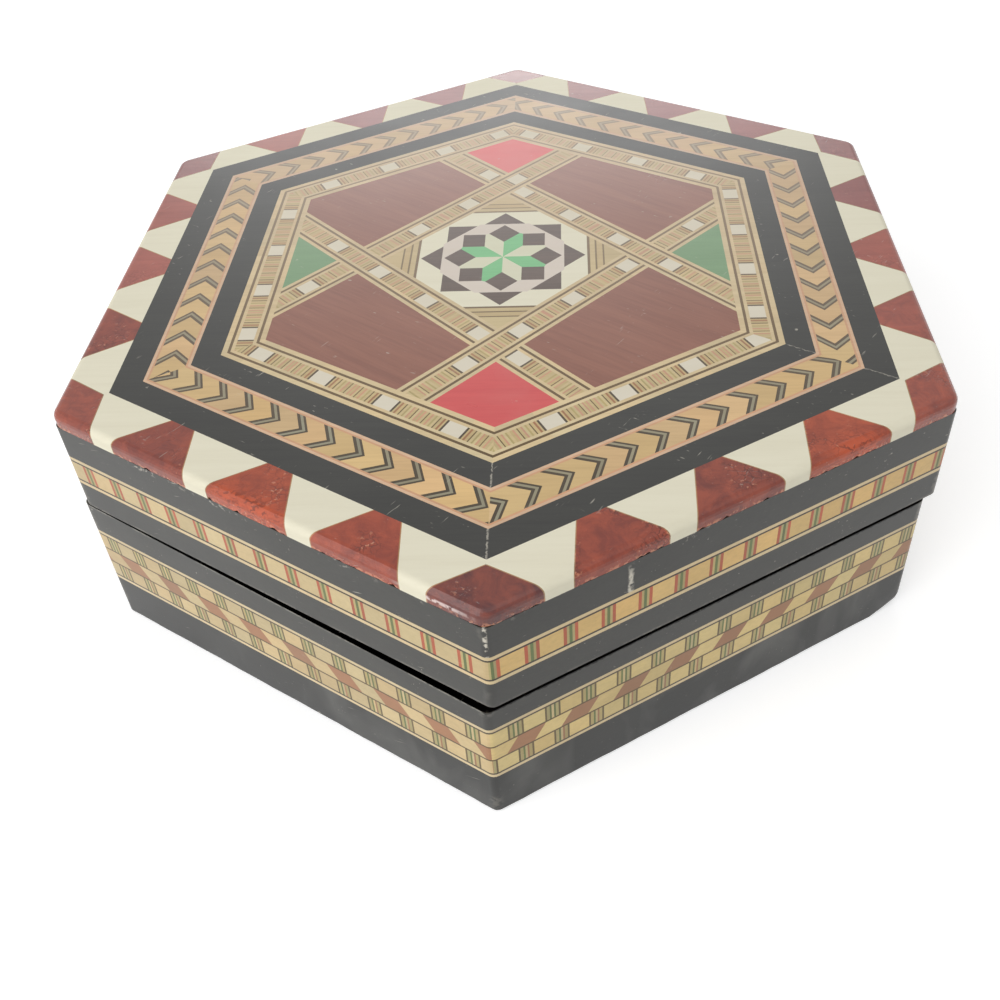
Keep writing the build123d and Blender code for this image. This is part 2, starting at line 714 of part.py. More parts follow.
def save_hinges():
    save("hinge_base_leaves", [base_leaf(middle) for middle in hinge_middles()])
    save("hinge_lid_leaves", [lid_leaf(middle) for middle in hinge_middles()])
    save("hinge_pins", [hinge_pin(middle) for middle in hinge_middles()])
    save("base_leaf_brads", [brad(along, out, BASE_RIM, -1) for along, out in brad_places()])
    save("lid_leaf_brads", [brad(along, out, LID_RIM, 1) for along, out in brad_places()])


save_base()
save_lid_carcass()
save_top_bands()
save_middle_field()
save_rosette()
save_hinges()
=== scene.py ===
# %% [markdown]
# The real object is a low hexagonal box of wood, covered in marquetry and lacquered. The packed
# model has its walls, its lid on hinges and every larger piece of the pattern. It could be drawn
# again here, but loading it keeps each piece where the maker put it, so only finishes and the
# finest slips are added.

# %% Load the packed box
import math
import random

import bmesh
import bpy
from mathutils import Matrix, Vector


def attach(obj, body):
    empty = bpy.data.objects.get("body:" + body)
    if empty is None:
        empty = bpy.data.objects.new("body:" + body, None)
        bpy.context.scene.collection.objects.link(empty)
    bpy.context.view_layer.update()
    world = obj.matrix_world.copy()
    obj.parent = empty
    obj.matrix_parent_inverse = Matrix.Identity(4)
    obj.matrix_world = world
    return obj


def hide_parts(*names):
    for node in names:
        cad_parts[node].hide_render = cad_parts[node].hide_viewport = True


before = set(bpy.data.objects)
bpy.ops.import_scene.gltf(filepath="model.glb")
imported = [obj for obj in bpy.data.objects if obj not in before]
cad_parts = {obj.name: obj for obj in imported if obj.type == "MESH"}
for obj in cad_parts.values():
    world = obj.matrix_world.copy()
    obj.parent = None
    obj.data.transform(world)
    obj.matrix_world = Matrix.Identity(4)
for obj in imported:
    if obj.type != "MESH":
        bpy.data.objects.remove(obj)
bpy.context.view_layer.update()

MM = 0.001

# %% [markdown]
# The picture is taken from above a corner, close by, with the camera turned slightly. A camera can
# be aimed at the box with a constraint, but setting its own three directions gives the picture's
# tilt and roll exactly. The lens shift moves the picture in its frame without turning the camera.

# %% Camera
EYE = Vector((10.37, -147.16, 139.09)) * MM
LOOK_DOWN = math.radians(40.628)
TURN = math.radians(-3.818)
ROLL = math.radians(-3.473)
LENS, NEAREST = 40.363, 5 * MM
SHIFT_ACROSS, SHIFT_UP = -0.0175, -0.0986

forward = Vector((math.sin(TURN) * math.cos(LOOK_DOWN),
                  math.cos(TURN) * math.cos(LOOK_DOWN), -math.sin(LOOK_DOWN)))
level = Vector((math.cos(TURN), -math.sin(TURN), 0.0))
right = Matrix.Rotation(-ROLL, 3, forward) @ level
up = right.cross(forward)
camera = bpy.data.objects.new("camera", bpy.data.cameras.new("camera"))
camera.matrix_world = Matrix.Translation(EYE) @ Matrix(
    (right, up, -forward)).transposed().to_4x4()
camera.data.lens, camera.data.clip_start = LENS, NEAREST
camera.data.shift_x, camera.data.shift_y = SHIFT_ACROSS, SHIFT_UP
bpy.context.scene.collection.objects.link(camera)
bpy.context.scene.camera = camera
print("camera right", [round(value, 3) for value in right])

# %% [markdown]
# Colours are written as they look on a screen, from 0 to 255, because that is how a maker compares
# them with a photograph. Blender's shaders work on linear light, so one helper converts them. Two
# more place a node and join it up in one call, which keeps the finishes below short.

# %% Colours and nodes
def paint(red, green, blue):
    """A screen colour as linear light with alpha."""
    def linear(value):
        value = value / 255
        return value / 12.92 if value < 0.04045 else ((value + 0.055) / 1.055) ** 2.4
    return (linear(red), linear(green), linear(blue), 1.0)


def feed(sockets, **values):
    """Sets or links sockets by name, or by number as i0, i1 and so on."""
    for name, value in values.items():
        numbered = name[0] == "i" and name[1:].isdigit()
        socket = sockets[int(name[1:]) if numbered else name.replace("_", " ")]
        value = getattr(value, "socket", value)
        if isinstance(value, bpy.types.NodeSocket):
            socket.id_data.links.new(value, socket)
        else:
            socket.default_value = value


def node(tree, kind, settings=None, **inputs):
    """A new shader node; an input is a value or another node's output."""
    made = tree.nodes.new(kind)
    for name, value in (settings or {}).items():
        setattr(made, name, value)
    feed(made.inputs, **inputs)
    return made


def blend_colours(tree, mask, first, second):
    return node(tree, "ShaderNodeMix", {"data_type": "RGBA"}, i0=mask, i6=first,
                i7=second).outputs[2]


print("white is", paint(255, 255, 255))

# %% [markdown]
# A mask is a number at each place of a surface, worked out by Math nodes. Written as one call for
# each node it would be hard to read, so a small class lets masks be added and multiplied with
# plain signs. Each sign still makes one Math node, which the shader editor shows.

# %% Sums with masks
class Mask:
    """A number that changes over a surface."""

    def __init__(self, socket):
        self.socket = socket

    def maths(self, operation, first, second=0.0):
        return Mask(node(self.socket.id_data, "ShaderNodeMath", {"operation": operation},
                         i0=first, i1=second).outputs[0])

    def __add__(self, other):
        return self.maths("ADD", self, other)

    def __sub__(self, other):
        return self.maths("SUBTRACT", self, other)

    def __rsub__(self, other):
        return self.maths("SUBTRACT", other, self)

    def __mul__(self, other):
        return self.maths("MULTIPLY", self, other)

    def over(self, limit):
        return self.maths("GREATER_THAN", self, limit)

    def under(self, limit):
        return self.maths("LESS_THAN", self, limit)

    def size(self):
        return self.maths("ABSOLUTE", self)

    def ramp(self, low, high):
        """0 up to low, 1 from high on, straight between; low may be the greater one."""
        return Mask(node(self.socket.id_data, "ShaderNodeMapRange", None, Value=self, i1=low,
                         i2=high).outputs[0])

    def near(self, middle, reach):
        """1 round the middle, falling to 0 at its reach."""
        return (self - middle).size().ramp(reach, reach * 0.4)

    def held(self):
        """Kept between 0 and 1."""
        self.socket.node.use_clamp = True
        return self


def most(first, *others):
    """The greatest of several masks at each place."""
    for other in others:
        first = first.maths("MAXIMUM", first, other)
    return first


print("a mask has", [name for name in dir(Mask) if not name.startswith("_")])

# %% [markdown]
# Every mask starts from the place on the box, in metres from the middle of its foot. Texture
# coordinates from an unwrapping would need one for each piece, but the object's own coordinates
# run on from piece to piece, since all of them share the frame's origin.

# %% Places and noise
def object_place(tree):
    return node(tree, "ShaderNodeTexCoord").outputs["Object"]


def vectors(operation, first, second=(0.0, 0.0, 0.0)):
    """The outputs of a Vector Math node: 0 is the vector, "Value" the number."""
    return node(first.id_data, "ShaderNodeVectorMath", {"operation": operation}, i0=first,
                i1=second).outputs


def stretched(place, x, y, z):
    return vectors("MULTIPLY", place, (x, y, z))[0]


def along_axis(place, x, y):
    """How far a place lies from the middle in a direction of the plan."""
    return Mask(vectors("DOT_PRODUCT", place, (x, y, 0.0))["Value"])


def axes(vector):
    split = node(vector.id_data, "ShaderNodeSeparateXYZ", None, Vector=vector)
    return [Mask(output) for output in split.outputs]


def noise(place, scale, **settings):
    return Mask(node(place.id_data, "ShaderNodeTexNoise", None, Vector=place, Scale=scale,
                     **settings).outputs["Fac"])


def ragged(place, scale, reach):
    """The same places, each pushed a little aside, so that shapes drawn on them are uneven."""
    push = node(place.id_data, "ShaderNodeTexNoise", None, Vector=place, Scale=scale)
    return vectors("ADD", place, stretched(push.outputs["Color"], reach, reach, reach))[0]


NUMBER, COLOUR = "NodeSocketFloat", "NodeSocketColor"


def effect(name, inputs, outputs):
    """An empty node group with named sockets: (name, kind, starting value)."""
    tree = bpy.data.node_groups.new(name, "ShaderNodeTree")
    for label, kind, value in inputs:
        tree.interface.new_socket(label, in_out="INPUT", socket_type=kind).default_value = value
    for label, kind in outputs:
        tree.interface.new_socket(label, in_out="OUTPUT", socket_type=kind)
    return tree, tree.nodes.new("NodeGroupInput").outputs, tree.nodes.new("NodeGroupOutput").inputs


def show_sockets(group):
    print(group.name, "has", ", ".join(item.name for item in group.interface.items_tree))


print("sockets can be", NUMBER, "or", COLOUR)

# %% [markdown]
# Wood shows fine dark pores and slow stripes that both run along the grain. An image would give
# them, but noise that is stretched along one direction does the same at any size, and one group
# can serve every veneer with its own direction, scale and strength.

# %% Grain of the wood
def make_grain():
    tree, given, result = effect(
        "Wood grain",
        [("Colour", COLOUR, paint(180, 140, 90)), ("Vein", COLOUR, paint(120, 80, 50)),
         ("Direction", NUMBER, 0.0), ("Fineness", NUMBER, 1.0), ("Strength", NUMBER, 0.5)],
        [("Colour", COLOUR), ("Height", NUMBER)])
    turn = node(tree, "ShaderNodeCombineXYZ", None, Z=given["Direction"]).outputs[0]
    turned = node(tree, "ShaderNodeMapping", None, Vector=object_place(tree),
                  Rotation=turn).outputs[0]
    fibre = vectors("MULTIPLY", stretched(turned, 160.0, 2600.0, 2600.0), given["Fineness"])[0]
    pores = noise(fibre, 1.0, Detail=4.0, Roughness=0.65)
    stripes = noise(stretched(turned, 30.0, 420.0, 420.0), 1.0, Detail=2.0, Distortion=0.6)
    veins = pores.ramp(0.42, 0.72) * 0.7 + stripes.ramp(0.35, 0.7) * 0.6
    veins = (veins * given["Strength"]).held()
    feed(result, Height=1.0 - pores,
         Colour=blend_colours(tree, veins, given["Colour"], given["Vein"]))
    return tree


GRAIN = make_grain()
show_sockets(GRAIN)

# %% [markdown]
# Years of handling leave the lacquer with fine scratches, small pale nicks and a soft unevenness.
# They could be modelled, but they are shallower than a hair, so a group gives them as a change of
# roughness, a small height and a mask where the colour turns pale.

# %% Wear of the lacquer
def scratch_lines(place, angle, seed, density):
    """Short thin lines in one direction."""
    turned = node(place.id_data, "ShaderNodeMapping", None, Vector=place,
                  Rotation=(0.3, 0.2, angle), Location=(seed, seed * 0.7, 0.0)).outputs[0]
    lines = noise(stretched(turned, 60.0, 3200.0, 3200.0), 1.0, Detail=1.0)
    broken = noise(turned, 240.0)
    return (lines.ramp(0.70, 0.78) * broken.ramp(0.55, 0.66) * density).held()


def make_wear():
    tree, given, result = effect(
        "Lacquer wear",
        [("Roughness", NUMBER, 0.3), ("Scratches", NUMBER, 0.5), ("Nicks", NUMBER, 0.5)],
        [("Roughness", NUMBER), ("Pale", NUMBER), ("Height", NUMBER)])
    place = object_place(tree)
    scratches = most(scratch_lines(place, 0.5, 3.0, given["Scratches"]),
                     scratch_lines(place, -0.9, 7.0, given["Scratches"]))
    dots = node(tree, "ShaderNodeTexVoronoi", None, Vector=ragged(place, 2200.0, 0.7 * MM),
                Scale=520.0).outputs
    chosen, large, _ = node(tree, "ShaderNodeSeparateColor", None, Color=dots["Color"]).outputs
    reach = Mask(large) * 0.12 + 0.04
    nicks = Mask(dots["Distance"]).ramp(reach, reach * 0.5) * Mask(chosen).ramp(0.93, 0.95)
    cloud = noise(place, 55.0, Detail=4.0)
    rough = (cloud - 0.5) * 0.22 + given["Roughness"] + scratches * 0.15
    feed(result, Roughness=rough.held(), Height=cloud * 0.35 - scratches,
         Pale=most(scratches * 0.55, nicks * given["Nicks"]))
    return tree


WEAR = make_wear()
show_sockets(WEAR)

# %% [markdown]
# The black slips are rubbed pale along the two rims and the upright corners, the front corner most
# of all, and the front right side has one small white nick. The joint's level faces and the edge
# that the lid overhangs get painted shade: near black, and metallic so that they show almost no
# sheen. Such marks sit at known places, so they could be painted on a map, but a mask worked out
# from distances puts them there directly, and noise breaks them up.

# %% Where the box is worn
# Heights, and distances in plan, of the places that are worn or given painted shade
JOINT = 24.41 * MM
BASE_RIM, LID_RIM = 24.38 * MM, 24.65 * MM
RIM_SLOPE = 0.0272
RIM_FACES = 23.8 * MM
OVERHUNG = 59.2 * MM
EDGE_FLECKS = 39.3 * MM
BASE_LEFT, BASE_SMALLER = 0.8 * MM, 0.4 * MM
CORNER_OUT = 69.4 * MM
FRONT_STREAK = 33.8 * MM
NICK_ALONG, NICK_HEIGHT, NICK_OUT = -15.7 * MM, 35.8 * MM, 60 * MM
TOP_LAYER = 40.5 * MM
FRONT_RIGHT = (0.5, -0.866)


def rim_wear_and_shade(place, z, on_base, broad, waver):
    """Where the two rims are rubbed pale, and the joint's faces that get painted shade."""
    fall = most(along_axis(place, *FRONT_RIGHT), 0.0)
    below_rim = BASE_RIM - fall * RIM_SLOPE - z + waver
    lid_rim = (z + waver).ramp(LID_RIM + 0.35 * MM, LID_RIM) * 0.5
    pale = on_base * below_rim.ramp(0.42 * MM, 0.1 * MM) + (1.0 - on_base) * lid_rim
    facing = node(place.id_data, "ShaderNodeNewGeometry").outputs["True Normal"]
    level = axes(facing)[2].size().over(0.7)
    upright = 1.0 - level
    under_lid = on_base * fall.over(OVERHUNG) * upright
    # Painted shade: near black on the joint's level faces and on the base's edge just under the
    # lid
    dark = most(level * z.near(RIM_FACES, 2.2 * MM),
                under_lid * below_rim.ramp(0.3 * MM, 0.15 * MM))
    return pale * broad.ramp(0.4, 0.6) * (upright - under_lid), dark, upright, fall


def corner_marks(x, y, z, on_base, fine, broad, waver):
    """The upright corners, a little rubbed, and the long pale streak down the front one."""
    centred = x + on_base * BASE_LEFT
    flat = node(x.socket.id_data, "ShaderNodeCombineXYZ", None, X=centred, Y=y).outputs[0]
    out = Mask(vectors("LENGTH", flat)["Value"]) + on_base * BASE_SMALLER + waver
    corners = out.ramp(CORNER_OUT, CORNER_OUT + 0.5 * MM) * broad.ramp(0.5, 0.6)
    streak = (centred + waver).near(0.0, 0.3 * MM) * y.under(-68.5 * MM)
    return corners, streak * z.over(FRONT_STREAK) * fine.ramp(0.44, 0.56)


def open_mitres(place, x, y, z, waver):
    """The fine cracks where the top's strips meet, at the front and on the right."""
    front = (x + waver).near(0.0, 0.13 * MM) * y.under(-35 * MM)
    right = (along_axis(place, 0.5, 0.866) + waver).near(0.0, 0.12 * MM) * x.over(30 * MM)
    return most(front, right * 0.8) * z.over(TOP_LAYER)


print("the joint lies", round(JOINT / MM, 2), "mm above the table")

# %% All the rubbed places, and the painted shade in the joint
def make_rubbed_and_shaded():
    tree, given, result = effect("Rubbed places and joint shade", [("Amount", NUMBER, 1.0)],
                                 [("Mask", NUMBER), ("Rim", NUMBER)])
    place = object_place(tree)
    x, y, z = axes(place)
    fine, broad = noise(place, 1500.0, Detail=3.0), noise(place, 160.0, Detail=2.0)
    waver = (fine - 0.5) * (0.7 * MM)
    on_base = z.under(JOINT)
    rims, dark, upright, fall = rim_wear_and_shade(place, z, on_base, broad, waver)
    corners, streak = corner_marks(x, y, z, on_base, fine, broad, waver)
    nick = (along_axis(place, 0.866, 0.5) + waver).near(NICK_ALONG, 0.5 * MM)
    nick = nick * z.near(NICK_HEIGHT, 3.6 * MM) * fall.over(NICK_OUT)
    flecks = z.near(EDGE_FLECKS, 0.7 * MM) * upright * fine.ramp(0.56, 0.62)
    flecks = flecks * broad.ramp(0.54, 0.64)
    cracks = most(open_mitres(place, x, y, z, waver), flecks)
    marks = most(rims * 0.4, corners * 0.25, streak, nick, cracks * 0.55)
    marks = marks * fine.ramp(0.36, 0.52) * given["Amount"]
    # Rubbed marks go out as Mask, and the joint's painted shade as the second output
    feed(result, Mask=marks.held(), Rim=dark)
    return tree


RUBBED_AND_SHADED = make_rubbed_and_shaded()
show_sockets(RUBBED_AND_SHADED)

# %% [markdown]
# The brown border pieces lie under a thick lacquer that has crazed: their colour changes from dark
# to rust within a few millimetres, with small bright flecks and fine dark cracks. Two pieces, one
# on each front side, have a bright torn patch along their outer edge. The front corner piece has a
# painted highlight, a pale streak along its lower left edge. The front, where the box is held, has
# the most of it all, so the effect grows towards the front.

# %% Mottled lacquer
EDGE_LOW = 39.9 * MM
# Height and place across of the painted highlight on the front corner piece
HIGHLIGHT_HEIGHT, HIGHLIGHT_ACROSS = 40.6 * MM, -6.0 * MM


def crazed_edge(place, way, middle, reach):
    """Where the lacquer is crazed along the outer edge of one front side, left or right."""
    return (along_axis(place, 0.866, 0.5 * way).near(middle, reach)
            * along_axis(place, 0.5 * way, -0.866).ramp(57.2 * MM, 60.2 * MM))


def make_mottle():
    tree, given, result = effect("Mottled lacquer", [("Colour", COLOUR, paint(140, 70, 50))],
                                 [("Colour", COLOUR), ("Height", NUMBER)])
    place = object_place(tree)
    x, y, z = axes(place)
    patches = noise(place, 300.0, Detail=6.0, Roughness=0.72, Distortion=0.7)
    areas, grit = noise(place, 120.0, Detail=2.0), noise(place, 1700.0, Detail=2.0)
    bent = ragged(place, 900.0, 1.4 * MM)
    cells = Mask(node(tree, "ShaderNodeTexVoronoi", {"feature": "DISTANCE_TO_EDGE"}, Vector=bent,
                      Scale=950.0).outputs["Distance"])
    tears = noise(stretched(bent, 520.0, 1700.0, 2600.0), 1.0, Detail=3.0)
    crazed = most(crazed_edge(place, -1, 0.5 * MM, 7.5 * MM),
                  crazed_edge(place, 1, 18.5 * MM, 5.0 * MM)) * patches.ramp(0.28, 0.5)
    cracks = most(cells.ramp(0.09, 0.02) * areas.ramp(0.5, 0.62), crazed * tears.ramp(0.53, 0.6))
    chipped = z.ramp(EDGE_LOW + 0.5 * MM, EDGE_LOW) * grit.ramp(0.5, 0.58)
    flecks = most(grit.ramp(0.64, 0.7) * areas.ramp(0.5, 0.6), chipped * 0.9)
    # A painted highlight, pale, along the lower left edge of the front corner piece
    streak = (z.near(HIGHLIGHT_HEIGHT, 0.4 * MM) * y.under(-62 * MM)
              * x.near(HIGHLIGHT_ACROSS, 5.2 * MM) * grit.ramp(0.4, 0.5))
    colour = blend_colours(tree, patches.ramp(0.38, 0.64),
                           blend_colours(tree, 0.3, given["Colour"], paint(64, 26, 24)),
                           blend_colours(tree, 0.24, given["Colour"], paint(196, 96, 58)))
    # The last of these colours is the painted highlight
    for mask, seen in ((crazed * 0.65, paint(196, 84, 46)), (cracks * 0.6, paint(58, 24, 20)),
                       (flecks * 0.6, paint(214, 146, 112)), (streak * 0.8, paint(228, 206, 200))):
        colour = blend_colours(tree, mask, colour, seen)
    handled = y.ramp(6 * MM, -24 * MM) * 0.8 + 0.2
    feed(result, Colour=blend_colours(tree, handled, given["Colour"], colour),
         Height=(patches + flecks - cracks * 0.5) * handled)
    return tree


MOTTLE = make_mottle()
show_sockets(MOTTLE)

# %% [markdown]
# Every lacquered piece of the box is finished in the same way: grained wood, a pale mark where it
# is worn, and a satin coat that follows small unevenness. One function builds that material, so
# each finish below is only its colours and a few numbers. Two of the finishes change over the box:
# the foot has broad lighter streaks, which are painted reflections, and the dyed slips get a
# painted haze that makes them paler towards the back.

# %% How a lacquered finish is built
PALE_MARK = paint(196, 190, 176)
# The colour of the painted shade in the joint
PAINTED_GAP_SHADE = paint(8, 8, 8)
PAINTED_HAZE = paint(176, 153, 128)
BUMP_HEIGHT, BRASS_BUMP_HEIGHT = 0.06 * MM, 0.05 * MM


def new_material(name):
    material = bpy.data.materials.new(name)
    material.use_nodes = True
    return material, material.node_tree, material.node_tree.nodes["Principled BSDF"]


def place_group(tree, group, **inputs):
    return node(tree, "ShaderNodeGroup", {"node_tree": group}, **inputs).outputs


def leaning_streaks(tree):
    """Broad leaning streaks, none at the far left; on the foot they are painted reflections."""
    place = object_place(tree)
    leaning = node(tree, "ShaderNodeMapping", None, Vector=place, Rotation=(0.0, 0.7, 0.3),
                   Scale=(105.0, 105.0, 45.0)).outputs[0]
    streaks = noise(leaning, 1.0, Detail=3.0, Distortion=0.8)
    return streaks.ramp(0.44, 0.74) * axes(place)[0].ramp(-48 * MM, -30 * MM)


def hazed_towards_back(tree, colour):
    """The same colour, paler and more even towards the back of the box, as a painted haze."""
    share = axes(object_place(tree))[1].ramp(-45 * MM, 45 * MM) * 0.55
    return blend_colours(tree, share, colour, PAINTED_HAZE)


def finish(name, colour, vein, direction=0.0, fineness=1.0, strength=0.5, roughness=0.32,
           scratches=0.5, nicks=0.3, coat=0.25, bump=0.25, specular=0.5, rubbed=0.0, streak_colour=None,
           mottled=False, hazed=False):
    """A lacquered wood. Where no colour is given, it takes each slip's own dye."""
    material, tree, shader = new_material(name)
    if colour is None:
        colour = node(tree, "ShaderNodeAttribute", {"attribute_name": "stain"}).outputs["Color"]
        # Painted haze: the dyes turn paler towards the back
        if hazed:
            colour = hazed_towards_back(tree, colour)
        vein = blend_colours(tree, 0.45, colour, vein)
    grain = place_group(tree, GRAIN, Colour=colour, Vein=vein, Direction=direction,
                        Fineness=fineness, Strength=strength)
    wear = place_group(tree, WEAR, Roughness=roughness, Scratches=scratches, Nicks=nicks)
    shown, relief, pale = grain["Colour"], grain["Height"], Mask(wear["Pale"])
    if mottled:
        mottle = place_group(tree, MOTTLE, Colour=shown)
        shown, relief = mottle["Colour"], mottle["Height"]
    # Lighter leaning streaks of the streak colour; on the foot they are painted reflections
    if streak_colour:
        shown = blend_colours(tree, leaning_streaks(tree), shown, streak_colour)
    if rubbed:
        marks = place_group(tree, RUBBED_AND_SHADED, Amount=rubbed)
        pale = most(pale, marks["Mask"])
        # Painted shade in the joint: near black, and metallic so that it shows almost no sheen
        shown = blend_colours(tree, marks["Rim"], shown, PAINTED_GAP_SHADE)
        feed(shader.inputs, Metallic=marks["Rim"])
    bumps = node(tree, "ShaderNodeBump", None, Strength=bump, Distance=BUMP_HEIGHT,
                 Height=Mask(relief) * 0.4 + wear["Height"])
    feed(shader.inputs, Base_Color=blend_colours(tree, pale, shown, PALE_MARK),
         Roughness=wear["Roughness"], Normal=bumps.outputs["Normal"],
         Specular_IOR_Level=specular, Coat_Weight=coat, Coat_Roughness=0.22)
    return material


print("a pale mark is", [round(value, 2) for value in PALE_MARK])

# %% The finishes of the box
def bone(name, colour):
    return finish(name, colour, paint(196, 187, 160), strength=0.16, fineness=0.5, roughness=0.5,
                  scratches=0.2, nicks=0.0, specular=0.2, coat=0.0)


# Both black finishes take the rubbed places, and with them the joint's painted shade
BLACK = finish("black_lacquer", paint(50, 50, 46), paint(36, 35, 34), roughness=0.36,
               scratches=1.0, nicks=0.6, rubbed=1.0, specular=0.36, coat=0.08)
# The foot's streak colour is a painted reflection of the surroundings
FOOT_BLACK = finish("foot_black", paint(38, 38, 36), paint(30, 30, 29), strength=0.4,
                    roughness=0.34, rubbed=0.6, specular=0.28, coat=0.06,
                    streak_colour=paint(82, 82, 79))
BORDER_BONE = bone("bone", paint(225, 220, 198))
TESSERA_BONE = bone("bone_tessera", paint(216, 208, 190))
RHOMBUS_BONE = bone("bone_rhombus", paint(213, 202, 191))
STAR_BONE = bone("bone_star", paint(213, 212, 188))
BORDER_BROWN = finish("border_brown", None, paint(78, 26, 24), fineness=0.45, roughness=0.3,
                      specular=0.34, coat=0.1, bump=1.0, mottled=True)
CORNER_BROWN = finish("border_corner_brown", None, paint(60, 24, 26), strength=0.6,
                      fineness=0.45, roughness=0.24, specular=0.4, coat=0.2, bump=2.4,
                      mottled=True)
PANEL_BROWN = finish("brown_panel", paint(140, 90, 72), paint(108, 62, 50), fineness=0.8,
                     scratches=0.8, direction=0.6, specular=0.42, coat=0.14)
RED = finish("red_dyed", paint(206, 86, 85), paint(184, 62, 68), strength=0.35,
             streak_colour=paint(203, 97, 95), specular=0.36, coat=0.1)
GREEN = finish("green_dyed", paint(104, 140, 96), paint(84, 118, 78), strength=0.4)
STAR_GREEN = finish("star_green", paint(104, 178, 116), paint(84, 156, 98), strength=0.4)
DARK_TILE = finish("rosette_dark", paint(92, 74, 64), paint(62, 48, 40), strength=0.6,
                   specular=0.42, coat=0.12)
# The slips take the painted haze towards the back
SLIPS = finish("dyed_slips", None, paint(110, 84, 48), strength=0.4, roughness=0.36,
               scratches=0.3, nicks=0.1, bump=0.2, specular=0.36, coat=0.08, hazed=True)
CARCASS = finish("stained_wood", paint(128, 76, 46), paint(86, 46, 28), strength=0.8,
                 fineness=0.6, roughness=0.6, scratches=0.1, nicks=0.0, coat=0.0)
print(len(bpy.data.materials), "finishes")

# %% [markdown]
# The hinges are small pressed brass butts, dulled by age. Metal needs no coat: its colour comes
# from the reflection itself, and the wear group makes the reflection uneven.

# %% Brass
def make_brass():
    material, tree, shader = new_material("brass")
    wear = place_group(tree, WEAR, Roughness=0.32, Scratches=1.0, Nicks=0.0)
    cloud = Mask(node(tree, "ShaderNodeTexNoise", None, Scale=900.0, Detail=3.0).outputs["Fac"])
    relief = node(tree, "ShaderNodeBump", None, Strength=0.3, Distance=BRASS_BUMP_HEIGHT,
                  Height=wear["Height"])
    feed(shader.inputs, Metallic=1.0, Roughness=wear["Roughness"],
         Normal=relief.outputs["Normal"],
         Base_Color=blend_colours(tree, cloud.ramp(0.4, 0.65), paint(206, 170, 98),
                                  paint(160, 122, 66)))
    return material


BRASS = make_brass()
print(BRASS.name, "made")

# %% [markdown]
# Each packed piece keeps its shape and takes its finish by name. A long list would say it piece by
# piece, but the names already tell what a piece is, so the first word that fits decides.

# %% Finishes for the packed pieces
FINISH_OF = (("wall", CARCASS), ("floor", CARCASS), ("top_board", CARCASS), ("black", BLACK),
             ("hinge", BRASS), ("brads", BRASS), ("star_green", STAR_GREEN),
             ("green_triangle", GREEN), ("red_kite", RED), ("brown_panel", PANEL_BROWN),
             ("border_brown", PANEL_BROWN), ("border_corner", PANEL_BROWN),
             ("rosette_dark", DARK_TILE), ("star_bone", STAR_BONE), ("bone_rhomb", RHOMBUS_BONE),
             ("tessera", TESSERA_BONE), ("bone", BORDER_BONE), ("rosette_outer", BORDER_BONE))


def finish_for(name):
    for word, material in FINISH_OF:
        if word in name:
            return material
    return SLIPS


for name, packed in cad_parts.items():
    packed.data.materials.clear()
    packed.data.materials.append(finish_for(name))
print(len(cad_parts), "packed pieces finished")

# %% [markdown]
# The finest slips are too many for the packed model: stringing a third of a millimetre wide and
# little blocks dyed red and green. A maker glues them into sheets and saws them into strips. Here
# each slip is a small closed block, cut at the mitres like the real ones, with its dye stored on
# the mesh. A painted line would be lighter, but it would have no edges. The first step is to say
# where things lie: how far along a side, and how far out from the middle.

# %% Places on the box
LID_RADIUS = 70.0
TOP = 42.0
INLAY_LOW = 40.6
TAN30 = math.tan(math.radians(30))
LID_INRADIUS = LID_RADIUS * math.cos(math.radians(30))
BASE_INRADIUS = LID_INRADIUS - 0.35
BASE_CENTRE = Vector((-0.8, 0.0))
LID_CENTRE = Vector((0.0, 0.0))
SIDES = {"right": 0, "back_right": 60, "back_left": 120,
         "left": 180, "front_left": 240, "front_right": 300}


def direction(angle):
    turn = math.radians(angle)
    return Vector((math.cos(turn), math.sin(turn)))


def spot(along, out, angle, centre=LID_CENTRE):
    """A place in plan from its distance along a side and out from the centre."""
    outward = direction(angle)
    return centre + outward * out + Vector((-outward.y, outward.x)) * along


print("side length", round(2 * LID_INRADIUS * TAN30, 1), "mm")

# %% [markdown]
# A slip that runs past a mitre is cut off along it. Blender's boolean modifier could do that, but
# it is slow for thousands of slips. They are all convex in plan, so each cut only keeps the points
# on one side of a line and adds the two where the line crosses.

# %% Cutting slips to shape
SMALLEST_SLIP = 0.004


def cut(polygon, limit):
    """Keeps the part of a convex polygon on one side of a line: (normal, greatest distance)."""
    normal, reach = limit
    kept = []
    for here, after in zip(polygon, polygon[1:] + polygon[:1]):
        a, b = normal.dot(here) - reach, normal.dot(after) - reach
        if a <= 0:
            kept.append(here)
        if a * b < 0:
            kept.append(here.lerp(after, a / (a - b)))
    return kept


def area(polygon):
    pairs = zip(polygon, polygon[1:] + polygon[:1])
    return abs(sum(p.x * q.y - q.x * p.y for p, q in pairs)) / 2


def cut_to(polygon, limits):
    for limit in limits:
        polygon = cut(polygon, limit)
        if len(polygon) < 3:
            return []
    return polygon if area(polygon) > SMALLEST_SLIP else []


square = [Vector((0, 0)), Vector((1, 0)), Vector((1, 1)), Vector((0, 1))]
print("half a square has area", area(cut(square, (Vector((1, 0)), 0.5))))

# %% [markdown]
# All the slips of a strip become one mesh of closed blocks, since a thousand objects would be
# slow. Each face remembers the dye of its slip in an attribute called stain, which the finish
# reads. A material for each dye would do too, but the dyes differ a little from slip to slip,
# because no two veneers are alike.

